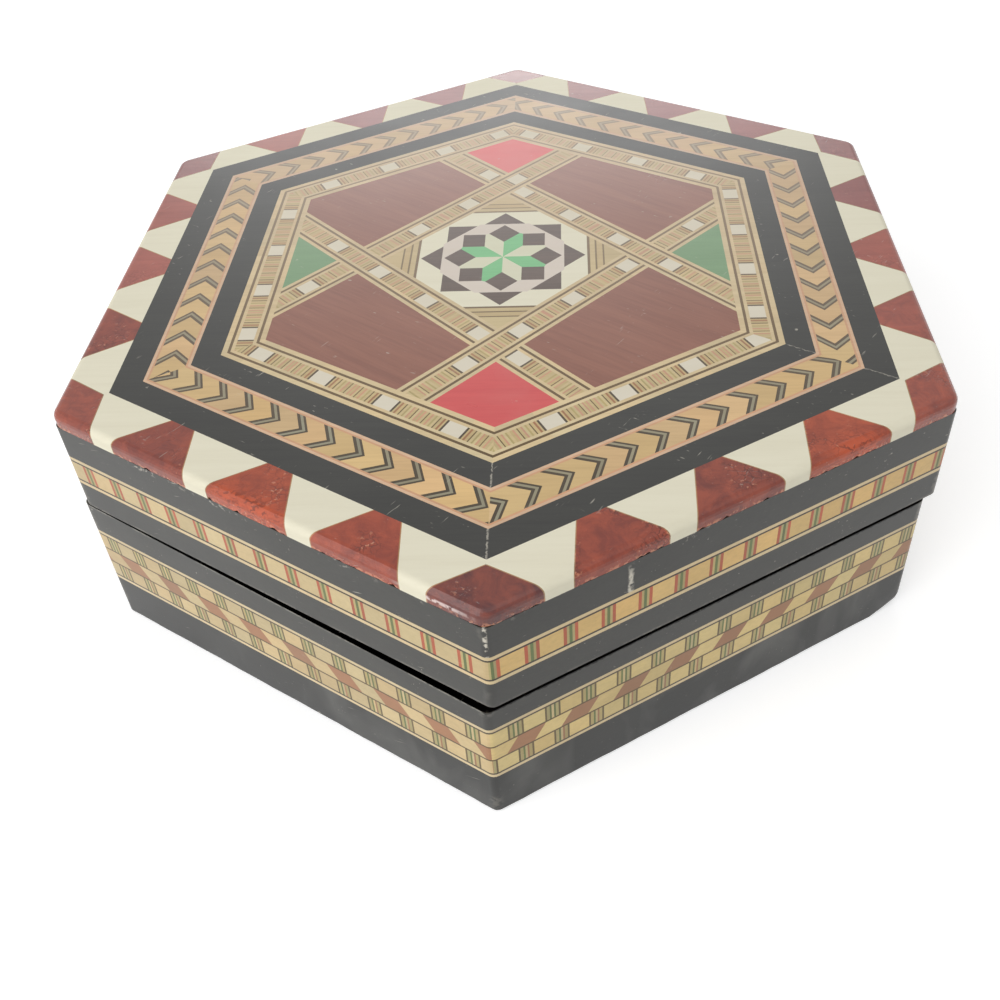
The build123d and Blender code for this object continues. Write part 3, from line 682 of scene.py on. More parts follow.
# %% Building pieces from blocks
class Blocks:
    """Closed blocks collected into one mesh, each with its own dye."""

    def __init__(self):
        self.points, self.faces, self.dyes = [], [], []

    def add(self, low, high, dye):
        """A block between two outlines of equally many points."""
        start, count = len(self.points), len(low)
        self.points += low + high
        bottom = [start + k for k in range(count)]
        top = [start + count + k for k in range(count)]
        self.faces += [bottom[::-1], top]
        for k in range(count):
            after = (k + 1) % count
            self.faces.append([bottom[k], bottom[after], top[after], top[k]])
        self.dyes += [dye] * (count + 2)

    def flat(self, polygon, low, high, dye):
        """A block that stands on a plan polygon."""
        if polygon:
            self.add([(p.x, p.y, low) for p in polygon], [(p.x, p.y, high) for p in polygon], dye)

    def shell(self, rows, dye):
        """A closed piece between its rows of points. A row of one point is a tip."""
        starts = []
        for row in rows:
            starts.append(len(self.points))
            self.points += row
        count = max(len(row) for row in rows)

        def number(r, k):
            row = r % len(rows)
            return starts[row] + (k if len(rows[row]) > 1 else 0)

        found = [[number(r, k), number(r, k + 1), number(r + 1, k + 1), number(r + 1, k)]
                 for r in range(len(rows)) for k in range(count - 1)]
        found += [[number(r, k) for r in range(len(rows))] for k in (0, count - 1)]
        found = [list(dict.fromkeys(face)) for face in found]
        found = [face for face in found if len(face) > 2]
        self.faces += found
        self.dyes += [dye] * len(found)

    def build(self, name, body, slot, *replaced, material=SLIPS):
        mesh = bpy.data.meshes.new(name)
        mesh.from_pydata([Vector(point) * MM for point in self.points], [], self.faces)
        stain = mesh.attributes.new("stain", "FLOAT_COLOR", "FACE")
        stain.data.foreach_set("color", [value for dye in self.dyes for value in dye])
        shape = bmesh.new()
        shape.from_mesh(mesh)
        bmesh.ops.recalc_face_normals(shape, faces=shape.faces)
        shape.to_mesh(mesh)
        shape.free()
        mesh.materials.append(material)
        piece = bpy.data.objects.new(name, mesh)
        bpy.context.scene.collection.objects.link(piece)
        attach(piece, body)
        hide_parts(*replaced)
        print(name, len(self.faces), "faces")


print("blocks can", ", ".join(name for name in vars(Blocks) if name[0] != "_"))

# %% Dyes
DYES = {"maple": (210, 178, 124), "peach": (212, 178, 130), "honey": (215, 179, 112),
        "straw": (212, 188, 126), "wheat": (201, 178, 130), "cream": (202, 183, 136),
        "pale": (214, 193, 150), "dark": (58, 48, 32), "ink": (34, 25, 10),
        "umber": (86, 66, 32), "olive": (94, 78, 40), "red": (176, 84, 50),
        "green": (94, 108, 54), "nut": (158, 110, 74), "orange": (208, 158, 122),
        "pink": (214, 178, 146), "mint": (174, 158, 104), "beige": (194, 172, 124),
        "rose": (199, 148, 120), "ash": (142, 137, 114), "tan": (176, 142, 98),
        "rust": (162, 74, 50), "fox": (150, 70, 54), "plum": (132, 66, 56),
        "wine": (98, 46, 44), "clay": (162, 88, 76), "mauve": (140, 84, 82),
        "soot": (62, 53, 38)}
chance = random.Random(11)


def dye(name, spread=0.06):
    """One of the dyes, a little lighter or darker from slip to slip."""
    red, green, blue, alpha = paint(*DYES[name])
    tone = 1 + chance.uniform(-spread, spread)
    warm = 1 + chance.uniform(-spread, spread) * 0.4
    return (red * tone * warm, green * tone, blue * tone / warm, alpha)


print(len(DYES), "dyes")

# %% [markdown]
# The lid's side strip is a row of maple blocks with a red, green and red line between them, under
# and over a dark and a pale stringing. The strips bend round the box at mitred corners that are
# slightly rounded. A bent strip could follow a curve, but the real one is mitred, so each block is
# cut at the corner and its points are moved onto the rounding.

# %% Blocks on a wall
SLIP = 1.6
CORNER_ROUND = 1.3
ROUND_START = CORNER_ROUND * TAN30


def wall_place(along, deep, z, wall):
    """A place on a wall's face, or deep under it, that follows the rounded corner."""
    out, angle, centre = wall
    inner = out - deep
    along = max(-inner * TAN30, min(inner * TAN30, along))
    start = out * TAN30 - ROUND_START
    if not deep and abs(along) > start:
        turn = math.radians(30) * (abs(along) - start) / ROUND_START
        along = math.copysign(start + CORNER_ROUND * math.sin(turn), along)
        inner = out - CORNER_ROUND * (1 - math.cos(turn))
    place = spot(along, inner, angle, centre)
    return (place.x, place.y, z)


def wall_block(blocks, wall, start, end, low, high, colour, lean=0.0):
    """A block of a strip, cut where the corner's rounding begins, bends and ends."""
    polygon = [Vector((start, low)), Vector((end, low)),
               Vector((end + lean, high)), Vector((start + lean, high))]
    half = wall[0] * TAN30
    middle = half - ROUND_START / 2
    edges = [-half, -middle, ROUND_START - half, half - ROUND_START, middle, half]
    for left, right in zip(edges, edges[1:]):
        part = cut_to(polygon, [(Vector((1, 0)), right), (Vector((-1, 0)), -left)])
        if part:
            blocks.add([wall_place(p.x, SLIP, p.y, wall) for p in part],
                       [wall_place(p.x, 0, p.y, wall) for p in part], colour)


def string_line(blocks, wall, low, high, name):
    half = wall[0] * TAN30
    wall_block(blocks, wall, -half, half, low, high, dye(name))


def row_of_blocks(blocks, wall, low, high, first, pitch, tone, lines):
    """Blocks of one dye with a group of thin dyed lines between them, all along a wall."""
    half = wall[0] * TAN30
    block = pitch - sum(width for _, width in lines)
    along = first - pitch * math.ceil((first + half) / pitch + 1)
    while along < half:
        place = along + block
        wall_block(blocks, wall, along, place, low, high, dye(tone, 0.1))
        for name, width in lines:
            wall_block(blocks, wall, place, place + width, low, high, dye(name, 0.14))
            place += width
        along += pitch


print("the rounding starts", round(ROUND_START, 2), "mm before a corner")

# %% Strip on the lid
LID_LINES = (("red", 0.46), ("mint", 0.34), ("green", 0.42), ("mint", 0.34), ("red", 0.46))
LID_STRIP_LOW, LID_STRIP_HIGH = 29.1, 34.2
PALE_LINE, DARK_LINE = 0.58, 0.32
LID_PITCH = 5.25
# Where one block of a row starts, along each side; the sides that aren't named take the last
LID_FIRST = {"front_right": -33.5, "front_left": 27.5, "others": -31.0}
PALER_SIDES = ("front_left", "left")


def lid_strip(blocks, name, angle):
    wall = (LID_INRADIUS, angle, LID_CENTRE)
    low, high = LID_STRIP_LOW, LID_STRIP_HIGH
    for line, width in (("pale", PALE_LINE), ("ink", DARK_LINE)):
        string_line(blocks, wall, low, low + width, line)
        string_line(blocks, wall, high - width, high, line)
        low, high = low + width, high - width
    row_of_blocks(blocks, wall, low, high, LID_FIRST.get(name, LID_FIRST["others"]), LID_PITCH,
                  "wheat" if name in PALER_SIDES else "honey", LID_LINES)


lid_inlay = Blocks()
for name, angle in SIDES.items():
    lid_strip(lid_inlay, name, angle)
lid_inlay.build("lid_inlay_strip", "lid", "maple", "lid_inlay_slips")

# %% [markdown]
# The base has two rows of such blocks and a row of slanting ones between, brown and pale by
# turns, which leans to the right on some sides and to the left on others. Each layer could have
# its own height written down, but a maker glues them one on the other from the foot up, and so
# does the loop, so a layer can be made thicker without touching the rest.

# %% Strips on the base
FOOT_TOP = 8.4059
UPPER_LINES = (("olive", 0.28), ("mint", 0.4), ("green", 0.28), ("beige", 0.34), ("green", 0.28),
               ("mint", 0.4), ("olive", 0.28))
LOWER_LINES = (("olive", 0.28), ("mint", 0.44), ("green", 0.28), ("beige", 0.32), ("nut", 0.26),
               ("mint", 0.44), ("olive", 0.28))
UPPER_PITCH, LOWER_PITCH = 5.33, 5.28
BROWN_BLOCK, PALE_BLOCK, LEAN = 4.05, 3.9, 1.7
LAYERS = (("pale", 0.55), ("dark", 0.32), ("lower row", 2.82), ("umber", 0.3),
          ("slanting row", 2.62), ("umber", 0.3), ("upper row", 2.82), ("dark", 0.32),
          ("pale", 0.55))
# Where one block of the upper row, one of the lower row and one brown slanting block start,
# and which way the slanting blocks lean
BASE_FIRST = {"front_right": (-30.0, -34.0, -32.6, 1), "front_left": (28.05, 27.7, 26.0, -1),
              "right": (-30.9, -31.9, -30.0, -1), "back_right": (-31.5, -32.4, -31.0, 1),
              "back_left": (-30.4, -31.2, -33.0, -1), "left": (-30.9, -33.0, -32.0, 1)}


def slanting_row(blocks, wall, low, high, first, way, tone):
    """Slanting blocks of brown and pale wood by turns."""
    half = wall[0] * TAN30
    pitch = BROWN_BLOCK + PALE_BLOCK
    along = first - pitch * math.ceil((first + half) / pitch + 1)
    while along < half + BROWN_BLOCK:
        for name, width in (("nut", BROWN_BLOCK), (tone, PALE_BLOCK)):
            wall_block(blocks, wall, along, along + width, low, high, dye(name, 0.1), LEAN * way)
            along += width


def base_strip(blocks, name, angle):
    wall = (BASE_INRADIUS, angle, BASE_CENTRE)
    upper, lower, slanting, way = BASE_FIRST[name]
    tone = "wheat" if name in PALER_SIDES else "straw"
    low = FOOT_TOP
    for layer, height in LAYERS:
        high = low + height
        if layer == "slanting row":
            slanting_row(blocks, wall, low, high, slanting, way, tone)
        elif layer == "upper row":
            row_of_blocks(blocks, wall, low, high, upper, UPPER_PITCH, tone, UPPER_LINES)
        elif layer == "lower row":
            row_of_blocks(blocks, wall, low, high, lower, LOWER_PITCH, tone, LOWER_LINES)
        else:
            string_line(blocks, wall, low, high, layer)
        low = high


base_inlay = Blocks()
for name, angle in SIDES.items():
    base_strip(base_inlay, name, angle)
base_inlay.build("base_inlay_strip", "base", "maple", "base_inlay_slips")

# %% [markdown]
# Standing and sliding on tables has worn the foot round, and a knock has taken more off under the
# corner on the right. The packed slips have a plain bevel there. Sculpting would do it too, but
# each black slip is simply drawn again as rows of points that run from mitre to mitre, with the
# rows near the table drawn in.

# %% Worn foot
KNOCKED = BASE_CENTRE + direction(330) * BASE_INRADIUS / math.cos(math.radians(30))
KNOCK_REACH, KNOCK_DEPTH, KNOCK_SHARPNESS = 5.5, 2.3, 1.2
FOOT_WEAR, FOOT_WAVES = 0.36, 0.12
FOOT_COLUMNS, FOOT_ROWS, CORNER_COLUMNS = 44, 6, 3
# The inner row is spread by nearly as much as the rounded outline falls short of the mitres
OUTLINE_SPAN = 0.99823


def smooth_noise(place, seed):
    """A slow wave between -1 and 1."""
    return (math.sin(place * 0.31 + seed) + math.sin(place * 0.83 + 2.1 * seed)
            + 0.6 * math.sin(place * 1.9 + 3.7 * seed)) / 2.6


def rounded_side(angle):
    """(place, outward direction) along one side of the base, round half of each corner."""
    start = BASE_INRADIUS * TAN30 - ROUND_START

    def bend(way, step):
        turn = math.radians(30) * step / CORNER_COLUMNS
        place = spot(way * (start + CORNER_ROUND * math.sin(turn)),
                     BASE_INRADIUS - CORNER_ROUND * (1 - math.cos(turn)), angle, BASE_CENTRE)
        return place, direction(angle + math.degrees(way * turn))

    steps = range(1, CORNER_COLUMNS + 1)
    straight = [(spot(start * (2 * k / FOOT_COLUMNS - 1), BASE_INRADIUS, angle, BASE_CENTRE),
                 direction(angle)) for k in range(FOOT_COLUMNS + 1)]
    return [bend(-1, k) for k in reversed(steps)] + straight + [bend(1, k) for k in steps]


def foot_slip(blocks, angle, seed):
    path = rounded_side(angle)
    along = [(place - BASE_CENTRE).dot(direction(angle + 90)) for place, _ in path]
    worn = []
    for (place, _), distance in zip(path, along):
        knock = max(0.0, 1 - (place - KNOCKED).length / KNOCK_REACH) ** KNOCK_SHARPNESS
        worn.append(FOOT_WEAR + FOOT_WAVES * smooth_noise(distance, seed) + KNOCK_DEPTH * knock)
    rows = [[(p.x, p.y, FOOT_TOP) for p, _ in path]]
    for step in range(FOOT_ROWS):
        turn = math.radians(90) * step / (FOOT_ROWS - 1)
        inset, drop = 1 - math.cos(turn), 1 - math.sin(turn)
        rows.append([(p.x - n.x * w * inset, p.y - n.y * w * inset, w * drop)
                     for (p, n), w in zip(path, worn)])
    half, inner_half = BASE_INRADIUS * TAN30, (BASE_INRADIUS - SLIP) * TAN30
    inner = []
    for distance in along:
        within = distance / (half * OUTLINE_SPAN) * inner_half
        inner.append(spot(max(-inner_half, min(inner_half, within)), BASE_INRADIUS - SLIP, angle,
                          BASE_CENTRE))
    rows += [[(p.x, p.y, z) for p in inner] for z in (0.0, FOOT_TOP)]
    blocks.shell(rows, dye("dark"))


foot = Blocks()
for k, angle in enumerate(SIDES.values()):
    foot_slip(foot, angle, 1.7 * k)
foot.build("foot_slips", "base", "black_lacquer", "base_lower_black_slips", material=FOOT_BLACK)

# %% [markdown]
# The base's rim is rubbed lowest along the front right side, so the joint shows there as a dark
# line. The packed slips are a little higher. A copy of them keeps their hinge recesses, and only
# the points of its front right rim are lowered.

# %% Rubbed rim
RIM_LOWERED = 0.36
RIM_FROM, RIM_WIDTH = 22.0, SLIP + 0.9


def rubbed_rim():
    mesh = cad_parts["base_upper_black_slips"].data.copy()
    outward = direction(SIDES["front_right"])
    lowered = 0
    for vertex in mesh.vertices:
        place = vertex.co / MM
        if place.z > RIM_FROM and place.xy.dot(outward) > BASE_INRADIUS - RIM_WIDTH:
            vertex.co.z -= RIM_LOWERED * MM
            lowered += 1
    rim = bpy.data.objects.new("base_rim_slips", mesh)
    bpy.context.scene.collection.objects.link(rim)
    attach(rim, "base")
    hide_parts("base_upper_black_slips")
    return lowered


print(rubbed_rim(), "points of the rim lowered")

# %% [markdown]
# The brown pieces of the border taper outwards between the bone ones and wrap over the rounded
# edge. Each was cut from a different board, so the tones differ, and their lower edges have
# chipped. The packed ones have plain edges. Here each is drawn again as rows of points that follow
# the rounding, with chips of chance size along its lower edge and a thin line of yellowed glue at
# its seams.

# %% The border's outline
BORDER_INNER = 53.6218
BORDER_LOW = 39.6
TOP_ROUND, TOP_ROWS = 1.1, 5
BORDER_PITCH = 16.898
BONE_MIDDLES = [BORDER_PITCH * (k - 1.5) for k in range(4)]
BONE_HALF_OUTER, BONE_HALF_INNER = BORDER_PITCH * 0.111, BORDER_PITCH * 0.373
SEAM_SLOPE = (BONE_HALF_OUTER - BONE_HALF_INNER) / (LID_INRADIUS - BORDER_INNER)
GLUE = 0.16


def seam(middle, way, out, glue=0.0):
    """Where the bone piece at this middle ends, along the side, at a distance out."""
    return middle + way * (BONE_HALF_INNER + SEAM_SLOPE * (out - BORDER_INNER) + glue)


def glue_edges(middle, way):
    """The two edges of the glue beside a bone piece, kept inside the mitres, as functions."""
    def edge(glue):
        return lambda out: max(-out * TAN30, min(out * TAN30, seam(middle, way, out, glue)))
    return [edge(0.0), edge(GLUE)][::way]


def border_rows(path, inner, chips):
    """Rows of one border piece. path(inset) gives its places along the rounded edge."""
    rows = [[(p.x, p.y, z) for p in inner] for z in (BORDER_LOW, TOP)]
    for step in range(TOP_ROWS):
        turn = math.radians(90) * step / (TOP_ROWS - 1)
        height = TOP - TOP_ROUND * (1 - math.cos(turn))
        rows.append([(p.x, p.y, height) for p, _ in path(TOP_ROUND * (1 - math.sin(turn)))])
    lower = list(zip(path(0.0), chips))
    rows.append([(p.x, p.y, BORDER_LOW + chip) for (p, _), chip in lower])
    rows.append([(p.x - n.x * chip, p.y - n.y * chip, BORDER_LOW) for (p, n), chip in lower])
    return rows


def chipping(count, depth):
    """How deep the lower edge is chipped at each column: mostly little, here and there more."""
    chips = [0.03 + depth * chance.random() ** 14 for _ in range(count)]
    return [max(a, (a + b) / 2) for a, b in zip(chips, chips[1:] + chips[-1:])]


def side_piece(blocks, angle, start, end, colour, chips, low_out=BORDER_INNER):
    """A border piece between two seams, with a column of points for each chip."""
    columns = len(chips) - 1

    def path(inset):
        out = LID_INRADIUS - inset
        low, high = start(out), end(out)
        return [(spot(low + (high - low) * k / columns, out, angle), direction(angle))
                for k in range(columns + 1)]

    inner = [place for place, _ in path(LID_INRADIUS - low_out)]
    if (inner[0] - inner[-1]).length < 0.01:
        inner = inner[:1]
    blocks.shell(border_rows(path, inner, chips), colour)


print("a bone piece is", round(2 * BONE_HALF_INNER, 1), "mm wide at its inner end")

# %% Brown pieces and glue
BROWNS = {"front_left": ("plum", "rust", "fox"), "front_right": ("fox", "plum", "rust"),
          "right": ("clay", "clay", "mauve"), "back_right": ("mauve", "mauve", "mauve"),
          "back_left": ("mauve", "mauve", "clay"), "left": ("clay", "clay", "plum")}
CORNER_BROWNS = {"front_left": "wine", "front_right": "fox", "right": "mauve",
                 "back_right": "mauve", "back_left": "mauve", "left": "fox"}
BORDER_ROUND = 2.3
BROWN_COLUMNS, CORNER_SIDE_COLUMNS, CORNER_STEPS = 36, 12, 6


def brown_between(blocks, angle, before, after, tone):
    side_piece(blocks, angle, lambda out: seam(before, 1, out, GLUE),
               lambda out: seam(after, -1, out, GLUE), dye(tone, 0.08),
               chipping(BROWN_COLUMNS + 1, 0.5))
    for middle, way in ((before, 1), (after, -1)):
        side_piece(blocks, angle, *glue_edges(middle, way), dye("tan", 0.15), chipping(2, 0.05))


def corner_path(angle):
    """Round the corner after a side, from its last bone piece to the next side's first."""
    def path(inset):
        out, radius = LID_INRADIUS - inset, BORDER_ROUND - inset
        start = seam(BONE_MIDDLES[-1], 1, out, GLUE)
        bend = (out - radius) * TAN30
        steps = [start + (bend - start) * k / CORNER_SIDE_COLUMNS
                 for k in range(CORNER_SIDE_COLUMNS + 1)]
        before = [(spot(along, out, angle), direction(angle)) for along in steps]
        arc_centre = spot(bend, out - radius, angle)
        turns = [angle + 60 * k / CORNER_STEPS for k in range(1, CORNER_STEPS)]
        arc = [(arc_centre + direction(turn) * radius, direction(turn)) for turn in turns]
        after = [(spot(-along, out, angle + 60), direction(angle + 60)) for along in steps[::-1]]
        return before + arc + after
    return path


def corner_brown(blocks, angle, tone):
    last = BONE_MIDDLES[-1]
    past = seam(last, 1, BORDER_INNER, GLUE) - BORDER_INNER * TAN30
    tip_out = BORDER_INNER + max(past / (TAN30 - SEAM_SLOPE), 0.0)
    tip = [spot(tip_out * TAN30, tip_out, angle)]
    chips = chipping(2 * (CORNER_SIDE_COLUMNS + 1) + CORNER_STEPS - 1, 0.4)
    blocks.shell(border_rows(corner_path(angle), tip, chips), dye(tone, 0.05))
    for side, way in ((angle, 1), (angle + 60, -1)):
        side_piece(blocks, side, *glue_edges(way * last, way), dye("tan", 0.15), [0.02, 0.02],
                   tip_out)


browns, corner_browns = Blocks(), Blocks()
for name, angle in SIDES.items():
    for before, after, tone in zip(BONE_MIDDLES, BONE_MIDDLES[1:], BROWNS[name]):
        brown_between(browns, angle, before, after, tone)
    corner_brown(corner_browns, angle, CORNER_BROWNS[name])
browns.build("border_browns", "lid", "border_brown", "border_brown_pieces",
             material=BORDER_BROWN)
corner_browns.build("border_corner_browns", "lid", "border_brown", "border_corner_pieces",
                    material=CORNER_BROWN)

# %% [markdown]
# The frame round the middle field and the four woven bands are sawn from one kind of strip: pale
# stringing, a thin dark line, and a ladder of short dyed slips that changes from one bone tessera
# to the next. The slips are worked out from each tessera, so that they mirror each other.

# %% Slips of a ladder strip
TESSERA, TESSERA_WIDTH = 2.8, 2.35
LADDER = (("dark", 0.32), ("beige", 0.26), ("nut", 0.3), ("beige", 0.42), ("olive", 0.18),
          ("cream", 0.4), ("mint", 0.26), ("cream", 0.36), ("rose", 0.26), ("beige", 0.4),
          ("olive", 0.16), ("cream", 0.38), ("rose", 0.24), ("beige", 0.4))
# From this slip on the ladder repeats
LADDER_REPEATS = 5
LEAST_SLIP = 0.12


def ladder_run(start, end, way):
    """Slips from a tessera's edge to an end: (start, end, dye). way is 1 or -1."""
    marks, place, k = [], start, 0
    while (end - place) * way > 0.01:
        name, width = LADDER[k]
        after = place + way * width
        if (end - after) * way < LEAST_SLIP:
            after = end
        marks.append((min(place, after), max(place, after), name))
        place, k = after, k + 1 if k + 1 < len(LADDER) else LADDER_REPEATS
    return marks


def ladder_marks(places, start, end):
    """Every slip along a strip, counted from the tesserae at these places."""
    half = TESSERA / 2
    stops = [start] + [edge for place in places for edge in (place - half, place + half)] + [end]
    marks = []
    for low, high in zip(stops[::2], stops[1::2]):
        middle = low if low == start else high if high == end else (low + high) / 2
        marks += ladder_run(low, middle, 1) + ladder_run(high, middle, -1)
    return marks


def strip_lines(outer, inner, edge):
    """The long lines of a strip, from both its edges inwards, and what is left between."""
    lines = []
    for name, width in (("pale", edge), ("umber", 0.42), ("pale", 0.5)):
        lines += [(outer, outer - width, name), (inner + width, inner, name)]
        outer, inner = outer - width, inner + width
    return lines[::2] + lines[1::2], outer, inner


print(len(ladder_run(0.0, 6.0, 1)), "slips in 6 mm")

# %% Cutting and laying the strips
def wedge(angle):
    """The two mitres of a side, as limits."""
    return [(direction(angle + 120), 0.0), (direction(angle - 120), 0.0)]


def band_polygon(start, end, outer, inner, angle, centre):
    return [spot(start, inner, angle, centre), spot(end, inner, angle, centre),
            spot(end, outer, angle, centre), spot(start, outer, angle, centre)]


def outside_pockets(polygon, pockets, angle, centre, middle):
    """Leaves out the bone tesserae, which stand in the middle of the strip."""
    out = direction(angle)
    along = Vector((-out.y, out.x))
    low_out = middle - TESSERA_WIDTH / 2 + centre.dot(out)
    high_out = middle + TESSERA_WIDTH / 2 + centre.dot(out)
    parts = [polygon] if polygon else []
    for pocket in pockets:
        start, end = (place + centre.dot(along) for place in pocket)
        inside = [(-along, -start), (along, end)]
        beside = ([(along, start)], [(-along, -end)], inside + [(-out, -high_out)],
                  inside + [(out, low_out)])
        parts = [cut_to(part, limits) for part in parts for limits in beside]
        parts = [part for part in parts if part]
    return parts


def ladder_strip(blocks, angle, centre, outer, inner, edge, places, reach, regions):
    """One strip with its lines and slips, cut to each of its regions."""
    lines, core_outer, core_inner = strip_lines(outer, inner, edge)
    shapes = [(-reach, reach, a, b, name) for a, b, name in lines]
    shapes += [(start, end, core_outer, core_inner, name)
               for start, end, name in ladder_marks(places, -reach, reach)]
    pockets = [(place - TESSERA / 2, place + TESSERA / 2) for place in places]
    for *band, name in shapes:
        for region in regions:
            whole = cut_to(band_polygon(*band, angle, centre), region)
            for part in outside_pockets(whole, pockets, angle, centre, (outer + inner) / 2):
                blocks.flat(part, INLAY_LOW, TOP, dye(name, 0.07))


print("a band polygon has", len(band_polygon(0, 1, 1, 0, 0, LID_CENTRE)), "corners")

# %% Frame round the middle field
FRAME_OUTER, FRAME_INNER = 39.8218, 34.0218
FRAME_EDGE, FRAME_REACH = 0.8, 24.0
FIRST_TESSERA = {"right": -15.3, "back_right": -15.3, "back_left": -18.4,
                 "left": -15.0, "front_left": -17.9, "front_right": -12.7}
TESSERA_PITCH = 11.05

ladder_frame = Blocks()
for name, angle in SIDES.items():
    places = [FIRST_TESSERA[name] + TESSERA_PITCH * k for k in range(4)]
    ladder_strip(ladder_frame, angle, LID_CENTRE, FRAME_OUTER, FRAME_INNER, FRAME_EDGE, places,
                 FRAME_REACH, [wedge(angle)])
ladder_frame.build("frame_ladder", "lid", "ladder_maple", "frame_ladder_strips")

# %% [markdown]
# The four woven bands are strips of the same kind. On the real box each passes over one neighbour
# and under the next, but veneers can't overlap, so the maker cuts the lower one off at both sides
# of the upper. The same is done here with the regions that a band is cut to.

# %% Woven bands
OCTAGON, CROSS_OUTER = 13.2, 18.6
ROSETTE = Vector((-0.4, 0.6))
WOVEN_EDGE, WOVEN_REACH = 0.6, 42.0
WOVEN = {225: ("front_left", (-21.9, -11.0, 0.2, 12.1, 20.4)),
         315: ("front_right", (-21.9, -11.3, -0.5, 11.3, 27.0)),
         45: ("back_right", (-20.6, -9.9, 0.9, 11.9, 20.6)),
         135: ("back_left", (-18.1, -7.0, 3.8, 26.0))}
HEXAGON = [(direction(60 * k), FRAME_INNER) for k in range(6)]


def beside_neighbour(angle):
    """A woven band passes under the next one: the regions on its two sides."""
    across = direction(angle + 90)
    shift = ROSETTE.dot(across)
    return [HEXAGON + [(across, OCTAGON + shift)], HEXAGON + [(-across, -CROSS_OUTER - shift)]]


for angle, (name, places) in WOVEN.items():
    woven = Blocks()
    ladder_strip(woven, angle, ROSETTE, CROSS_OUTER, OCTAGON, WOVEN_EDGE, places, WOVEN_REACH,
                 beside_neighbour(angle))
    woven.build("woven_ladder_" + name, "lid", "ladder_maple", "woven_band_" + name)

# %% [markdown]
# The arrow band runs all round between its two stringings. Each V is three veneers: dark, ash
# grey and dark. The V pieces are sawn at 45 degrees, with plain maple between them.

# %% Arrow band
ARROW_OUTER, ARROW_INNER = 49.5218, 43.6218
ARROW_STRING = 0.7
ARROW_PITCH, ARROW_SLIP, ARROW_COUNT = 4.68, 1.55, 19
ARROWS = {"right": (-1, -1.25), "back_right": (1, -0.3), "back_left": (-1, -1.9),
          "left": (-1, -1.9), "front_left": (1, -1.3), "front_right": (1, -0.9)}
V_LAYERS = (("soot", 0.44), ("ash", 0.52), ("soot", 0.59))


def arrow_arms(tip, length, way, outer, inner):
    """The two arms of a V whose point is at a place, each a parallelogram."""
    middle, half = (outer + inner) / 2, (outer - inner) / 2
    back = tip - way * half
    tail, end = tip - way * length, back - way * length
    return [[(tip, middle), (back, outer), (end, outer), (tail, middle)],
            [(tip, middle), (tail, middle), (end, inner), (back, inner)]]


def arrow_side(blocks, angle, way, middle_tip):
    outer, inner = ARROW_OUTER - ARROW_STRING, ARROW_INNER + ARROW_STRING
    for k in range(ARROW_COUNT):
        place = middle_tip + ARROW_PITCH * (k - ARROW_COUNT // 2)
        board = "maple" if chance.random() < 0.6 else "peach"
        for name, length in V_LAYERS + ((board, ARROW_PITCH - ARROW_SLIP),):
            colour = dye(name, 0.1)
            for arm in arrow_arms(place, length, way, outer, inner):
                polygon = [spot(along, out, angle) for along, out in arm]
                blocks.flat(cut_to(polygon, wedge(angle)), INLAY_LOW, TOP, colour)
            place -= way * length


arrows = Blocks()
for name, angle in SIDES.items():
    arrow_side(arrows, angle, *ARROWS[name])
arrows.build("arrow_veneers", "lid", "maple", "arrow_slips", "arrow_maple_pieces")

# %% Stringings of the arrow band
STRING_REACH = 40.0


def string_pair(name, outer, layers, replaced):
    """Thin lines that run all round, from the outside inwards."""
    blocks = Blocks()
    for angle in SIDES.values():
        place = outer
        for label, width in layers:
            polygon = band_polygon(-STRING_REACH, STRING_REACH, place, place - width, angle,
                                   LID_CENTRE)
            blocks.flat(cut_to(polygon, wedge(angle)), INLAY_LOW, TOP, dye(label, 0.05))
            place -= width
    blocks.build(name, "lid", "orange_stringing", replaced)


string_pair("outer_stringing", ARROW_OUTER, (("pink", 0.42), ("orange", 0.28)),
            "arrow_outer_stringing")
string_pair("inner_stringing", ARROW_INNER + ARROW_STRING, (("orange", 0.28), ("pink", 0.42)),
            "arrow_inner_stringing")

# %% [markdown]
# Between the rosette's octagon and each crossing lies a small triangle of striped veneer. The
# stripes run along the octagon's edge.

# %% Corner triangles of the rosette
CORNER_STRIPES = (("umber", 0.42), ("cream", 0.8), ("olive", 0.28), ("beige", 0.9),
                  ("olive", 0.26), ("cream", 4.0))


def corner_triangle(blocks, angle):
    half = OCTAGON * math.tan(math.radians(22.5))
    triangle = [spot(-half, OCTAGON, angle, ROSETTE), spot(half, OCTAGON, angle, ROSETTE),
                spot(0, OCTAGON * math.sqrt(2), angle, ROSETTE)]
    out, shift = direction(angle), ROSETTE.dot(direction(angle))
    place = OCTAGON
    for name, width in CORNER_STRIPES:
        part = cut_to(triangle, [(-out, -place - shift), (out, place + width + shift)])
        blocks.flat(part, INLAY_LOW, TOP, dye(name))
        place += width


corners = Blocks()
for k in range(4):
    corner_triangle(corners, 90 * k)
corners.build("rosette_corners", "lid", "ladder_maple", "rosette_corner_triangles")

# %% [markdown]
# The box stands on a plain white ground in soft light. More light would whiten the ground, but the
# box with it. So the ground and the background are white by themselves for the camera, and for
# what the lacquer mirrors, while the box only gets the lamps' light. The lamps are large, for the
# soft sheen that the lacquer shows.

# %% Ground and world
GROUND_GLOW = WORLD_LIGHT = 0.42
GROUND_HALF, GROUND_DROP = 3.0, 0.1 * MM
WHITE = (1.0, 1.0, 1.0, 1.0)


def seen_rays(tree):
    """1 for rays from the camera, also by way of a mirroring or clear surface."""
    rays = node(tree, "ShaderNodeLightPath").outputs
    return most(Mask(rays["Is Camera Ray"]), rays["Is Glossy Ray"], rays["Is Transmission Ray"])


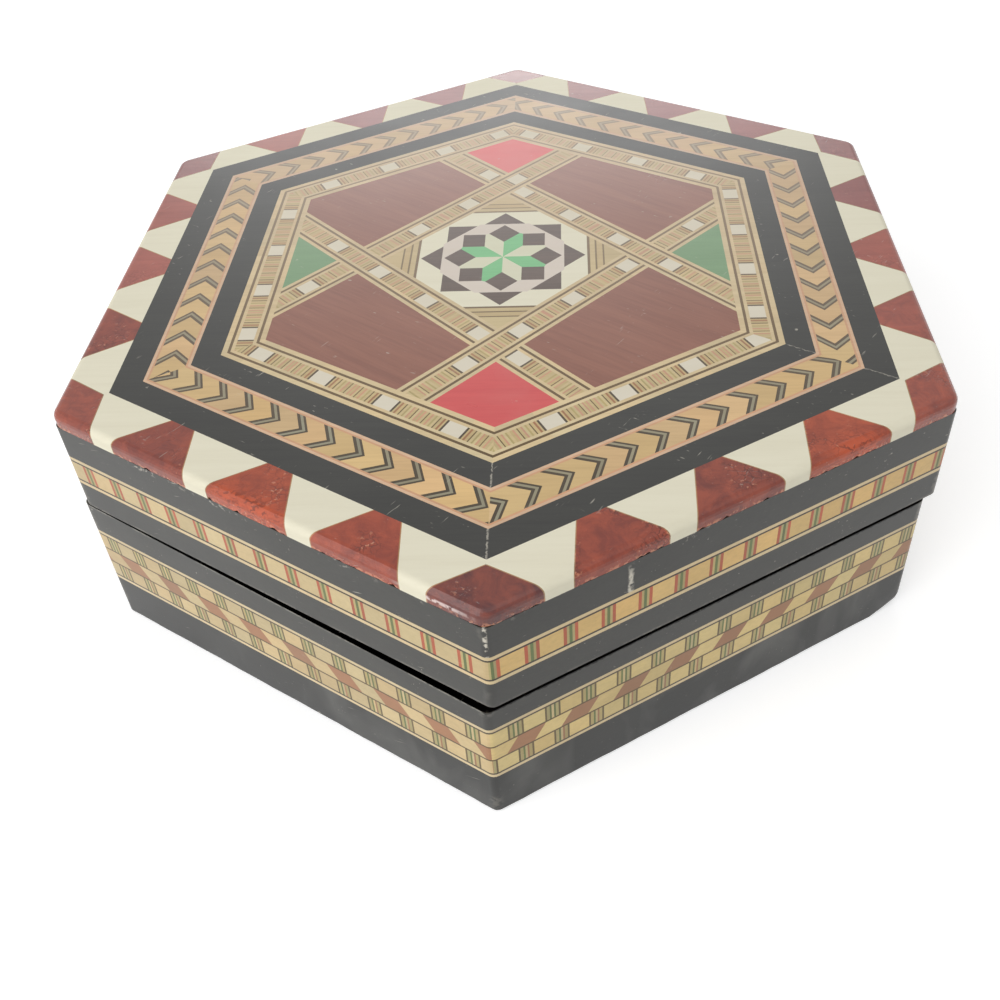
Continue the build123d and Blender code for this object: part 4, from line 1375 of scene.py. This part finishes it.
def make_ground():
    material, tree, shader = new_material("ground")
    feed(shader.inputs, Base_Color=paint(236, 236, 236), Roughness=0.9, Specular_IOR_Level=0.1)
    glow = node(tree, "ShaderNodeEmission", None, Strength=GROUND_GLOW)
    total = node(tree, "ShaderNodeAddShader", None, i0=shader.outputs[0], i1=glow.outputs[0])
    mixed = node(tree, "ShaderNodeMixShader", None, i0=seen_rays(tree), i1=shader.outputs[0],
                 i2=total.outputs[0])
    feed(tree.nodes["Material Output"].inputs, Surface=mixed.outputs[0])
    mesh = bpy.data.meshes.new("ground")
    corners = [(-1, -1), (1, -1), (1, 1), (-1, 1)]
    mesh.from_pydata([(x * GROUND_HALF, y * GROUND_HALF, 0) for x, y in corners], [],
                     [(0, 1, 2, 3)])
    mesh.materials.append(material)
    ground = bpy.data.objects.new("ground", mesh)
    ground.location.z = -GROUND_DROP
    bpy.context.scene.collection.objects.link(ground)


def make_world():
    world = bpy.data.worlds.new("studio")
    world.use_nodes = True
    tree = world.node_tree
    ambient = tree.nodes["Background"]
    feed(ambient.inputs, Color=WHITE, Strength=WORLD_LIGHT)
    white = node(tree, "ShaderNodeBackground", None, Color=WHITE, Strength=1.0)
    mixed = node(tree, "ShaderNodeMixShader", None, i0=seen_rays(tree), i1=ambient.outputs[0],
                 i2=white.outputs[0])
    feed(tree.nodes["World Output"].inputs, Surface=mixed.outputs[0])
    bpy.context.scene.world = world


make_ground()
make_world()
print("ground and world", GROUND_GLOW, WORLD_LIGHT)

# %% Lamps
AIM = Vector((0, 0, 0.02))
LAMPS = (("lamp_front_left", (-0.48, -0.5, 0.46), 0.9, 0.9, 4.7),
         ("lamp_above", (0.3, -0.25, 0.85), 1.2, 1.2, 1.8),
         ("lamp_behind", (-0.1, 1.6, 0.6), 1.3, 0.5, 6.2))

for name, place, width, height, watts in LAMPS:
    light = bpy.data.lights.new(name, "AREA")
    light.shape = "DISK" if width == height else "ELLIPSE"
    light.size, light.size_y, light.energy = width, height, watts
    holder = bpy.data.objects.new(name, light)
    holder.location = place
    holder.rotation_euler = (AIM - holder.location).to_track_quat("-Z", "Y").to_euler()
    bpy.context.scene.collection.objects.link(holder)
bpy.context.scene.view_settings.view_transform = "Standard"
print("lamps", len(bpy.data.lights))

# %% [markdown] The finer pieces must not make the box larger than the packed model.
